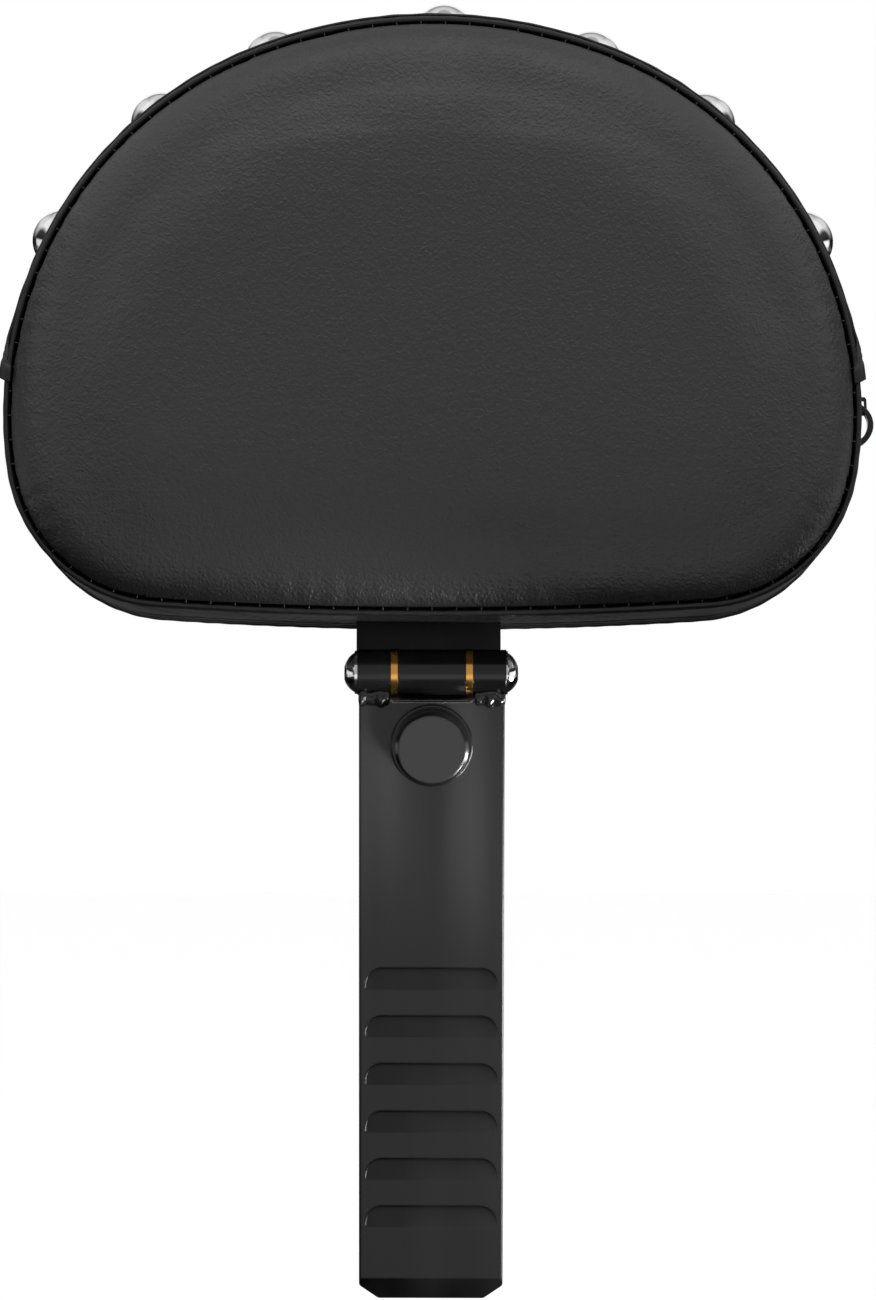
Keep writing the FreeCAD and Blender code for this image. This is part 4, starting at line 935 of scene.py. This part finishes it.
def make_floor_paper():
    """The same paper on the floor: it keeps the shadow. In mirrors it shows a painted glow instead: painted
    shade near the object, bright in a strip in front of it, and bright again far out at both sides."""
    material, tree, shader = new_material("floor_paper", (0.5, 0.5, 0.5), 0.9)
    place = add_node(tree, "ShaderNodeTexCoord").outputs["Object"]
    flat = add_node(tree, "ShaderNodeMapping", {"Vector": place, "Scale": (1.0, 1.0, 0.0)})
    reach = add_node(tree, "ShaderNodeVectorMath", {0: flat.outputs[0]}, operation="LENGTH")
    parts = add_node(tree, "ShaderNodeSeparateXYZ", {0: place})
    across = add_node(tree, "ShaderNodeMath", {0: parts.outputs["X"]}, operation="ABSOLUTE").outputs[0]
    strip = combine(tree, ramp(tree, reach.outputs["Value"], 1.1, 2.3, 0.04, 0.85),
                    ramp(tree, across, 0.6, 1.3, 1.0, 0.04), "MULTIPLY")
    strip = combine(tree, strip, ramp(tree, parts.outputs["Y"], -1.0, 0.0, 1.0, 0.25), "MULTIPLY")
    wings = combine(tree, ramp(tree, parts.outputs["X"], -3.3, -2.5, 0.6, 0.0),
                    ramp(tree, parts.outputs["X"], 2.5, 3.3, 0.0, 1.1), "MAXIMUM")
    wings = combine(tree, wings, ramp(tree, parts.outputs["Y"], 0.6, 2.0, 1.0, 0.1), "MULTIPLY")
    shade = combine(tree, strip, wings, "MAXIMUM")
    # painted light seen only in mirrors: the floor glows dim near the object, bright in a strip in front
    # and in wings at the sides
    mirrored = add_node(tree, "ShaderNodeEmission", {"Color": (1.0, 1.0, 1.0, 1.0), "Strength": shade})
    glow = add_node(tree, "ShaderNodeEmission", {"Color": (1.0, 1.0, 1.0, 1.0), "Strength": 0.7})
    lit = add_node(tree, "ShaderNodeAddShader", {0: shader.outputs[0], 1: glow.outputs[0]})
    seen, camera_ray = background_seen(tree)
    both = add_node(tree, "ShaderNodeMixShader", {0: seen, 1: shader.outputs[0], 2: mirrored.outputs[0]})
    both = add_node(tree, "ShaderNodeMixShader", {0: camera_ray, 1: both.outputs[0], 2: lit.outputs[0]})
    tree.links.new(both.outputs[0], tree.nodes["Material Output"].inputs["Surface"])
    return material


def add_sheet(name, corners, material):
    """A flat sheet of the surroundings, which isn't part of the object."""
    mesh = bpy.data.meshes.new(name)
    mesh.from_pydata(corners, [], [(0, 1, 2, 3)])
    mesh.materials.append(material)
    sheet = bpy.data.objects.new(name, mesh)
    scene.collection.objects.link(sheet)


FLOOR = -0.6
add_sheet("floor", [(-5, -4, FLOOR), (5, -4, FLOOR), (5, 4, FLOOR), (-5, 4, FLOOR)], make_floor_paper())
add_sheet("backdrop", [(-2.0, 4, FLOOR), (2.0, 4, FLOOR), (2.0, 4, 3.2), (-2.0, 4, 3.2)],
          make_backdrop_paper())


def make_world():
    """White to the camera. As light it is a studio: a soft grey in front, a bright table low in front,
    panels to both sides of the camera and one high up, dark cards at the far left and right, weaker
    light low behind, and a bright wing below the level at each side."""
    world = bpy.data.worlds.new("studio")
    world.use_nodes = True
    tree = world.node_tree
    direction = add_node(tree, "ShaderNodeTexCoord").outputs["Generated"]
    parts = add_node(tree, "ShaderNodeSeparateXYZ", {0: direction})

    across = add_node(tree, "ShaderNodeMath", {0: parts.outputs["X"]}, operation="ABSOLUTE").outputs[0]
    height = parts.outputs["Z"]
    panels = combine(tree, ramp(tree, across, 0.34, 0.56, 0.42, 0.95),
                     ramp(tree, height, -0.02, 0.30, 0.0, 1.0), "MULTIPLY")
    ahead = combine(tree, ramp(tree, across, 0.20, 0.36, 0.42, 0.0),
                    ramp(tree, height, -0.04, 0.04, 0.0, 1.0), "MULTIPLY")
    panels = combine(tree, panels, ahead, "MAXIMUM")
    table = combine(tree, ramp(tree, height, 0.04, -0.06, 0.0, 0.8),
                    ramp(tree, across, 0.18, 0.32, 1.0, 0.04), "MULTIPLY")
    overhead = combine(tree, ramp(tree, height, 0.52, 0.86, 0.0, 0.85),
                       ramp(tree, height, 0.92, 0.985, 1.0, 0.2), "MULTIPLY")
    lit = combine(tree, combine(tree, panels, table, "MAXIMUM"), overhead, "MAXIMUM")
    behind = combine(tree, ramp(tree, parts.outputs["Y"], 0.15, 0.75, 1.0, 0.35),
                     ramp(tree, height, 0.15, 0.45, 0.0, 0.8), "MAXIMUM")
    cards = combine(tree, ramp(tree, across, 0.78, 0.92, 1.0, 0.04), behind, "MULTIPLY")
    wings = combine(tree, ramp(tree, parts.outputs["X"], -0.95, -0.86, 0.8, 0.0),
                    ramp(tree, parts.outputs["X"], 0.86, 0.95, 0.0, 1.1), "MAXIMUM")
    wings = combine(tree, wings, ramp(tree, height, 0.10, 0.0, 0.0, 1.0), "MULTIPLY")
    room = combine(tree, combine(tree, lit, cards, "MULTIPLY"), wings, "MAXIMUM")
    ray = add_node(tree, "ShaderNodeLightPath")
    seen = add_node(tree, "ShaderNodeMix",
                    {0: ray.outputs["Is Camera Ray"], 2: room, 3: 1.0}, data_type="FLOAT")
    sky = tree.nodes["Background"]
    sky.inputs["Color"].default_value = (1.0, 1.0, 1.0, 1.0)
    tree.links.new(seen.outputs[0], sky.inputs["Strength"])
    scene.world = world


def aim(thing, target):
    """Turn a lamp or camera at its place so that its own -Z points to the target."""
    away = np.asarray(thing.location) - np.asarray(target)
    flat = math.hypot(away[0], away[1])
    thing.rotation_euler = (math.atan2(flat, away[2]), 0.0, math.atan2(away[0], -away[1]))


def add_softbox(name, place, target, wide, high, power, spread=180.0):
    """A flat lamp turned to its target, which the camera doesn't see."""
    lamp = bpy.data.lights.new(name, "AREA")
    lamp.shape = "RECTANGLE"
    lamp.size = wide
    lamp.size_y = high
    lamp.energy = power
    lamp.spread = math.radians(spread)
    box = bpy.data.objects.new(name, lamp)
    scene.collection.objects.link(box)
    box.location = place
    aim(box, target)
    box.visible_camera = False


make_world()
add_softbox("low_right", (0.11, -0.10, 0.10), (0.01, -0.02, 0.188), 0.08, 0.08, 0.05, 30.0)
add_softbox("low_side", (0.5, -0.05, 0.0), (0.0, 0.0, 0.10), 0.30, 0.14, 0.3, 44.0)
add_softbox("high_front", (0.0, -0.9, 1.9), (0.0, 0.0, 0.35), 1.1, 0.7, 2.5)

ELEVATION = math.radians(7.7)
DISTANCE = 1.7
TARGET = (0.0021, 0.0, 0.2315)
METRES_PER_PIXEL = 0.0003484
HALF_VIEW = 650 * METRES_PER_PIXEL
ROLL = math.radians(0.12)
lens = bpy.data.cameras.new("photo_camera")
lens.sensor_fit = "VERTICAL"
lens.sensor_height = 24.0
lens.lens = 12.0 * DISTANCE / HALF_VIEW
camera = bpy.data.objects.new("photo_camera", lens)
scene.collection.objects.link(camera)
camera.location = (
    TARGET[0], -DISTANCE * math.cos(ELEVATION), TARGET[2] + DISTANCE * math.sin(ELEVATION))
aim(camera, TARGET)
turned = camera.rotation_euler.to_matrix() @ Matrix.Rotation(ROLL, 3, "Z")
camera.rotation_euler = turned.to_euler()
scene.camera = camera
scene.view_settings.view_transform = "Standard"
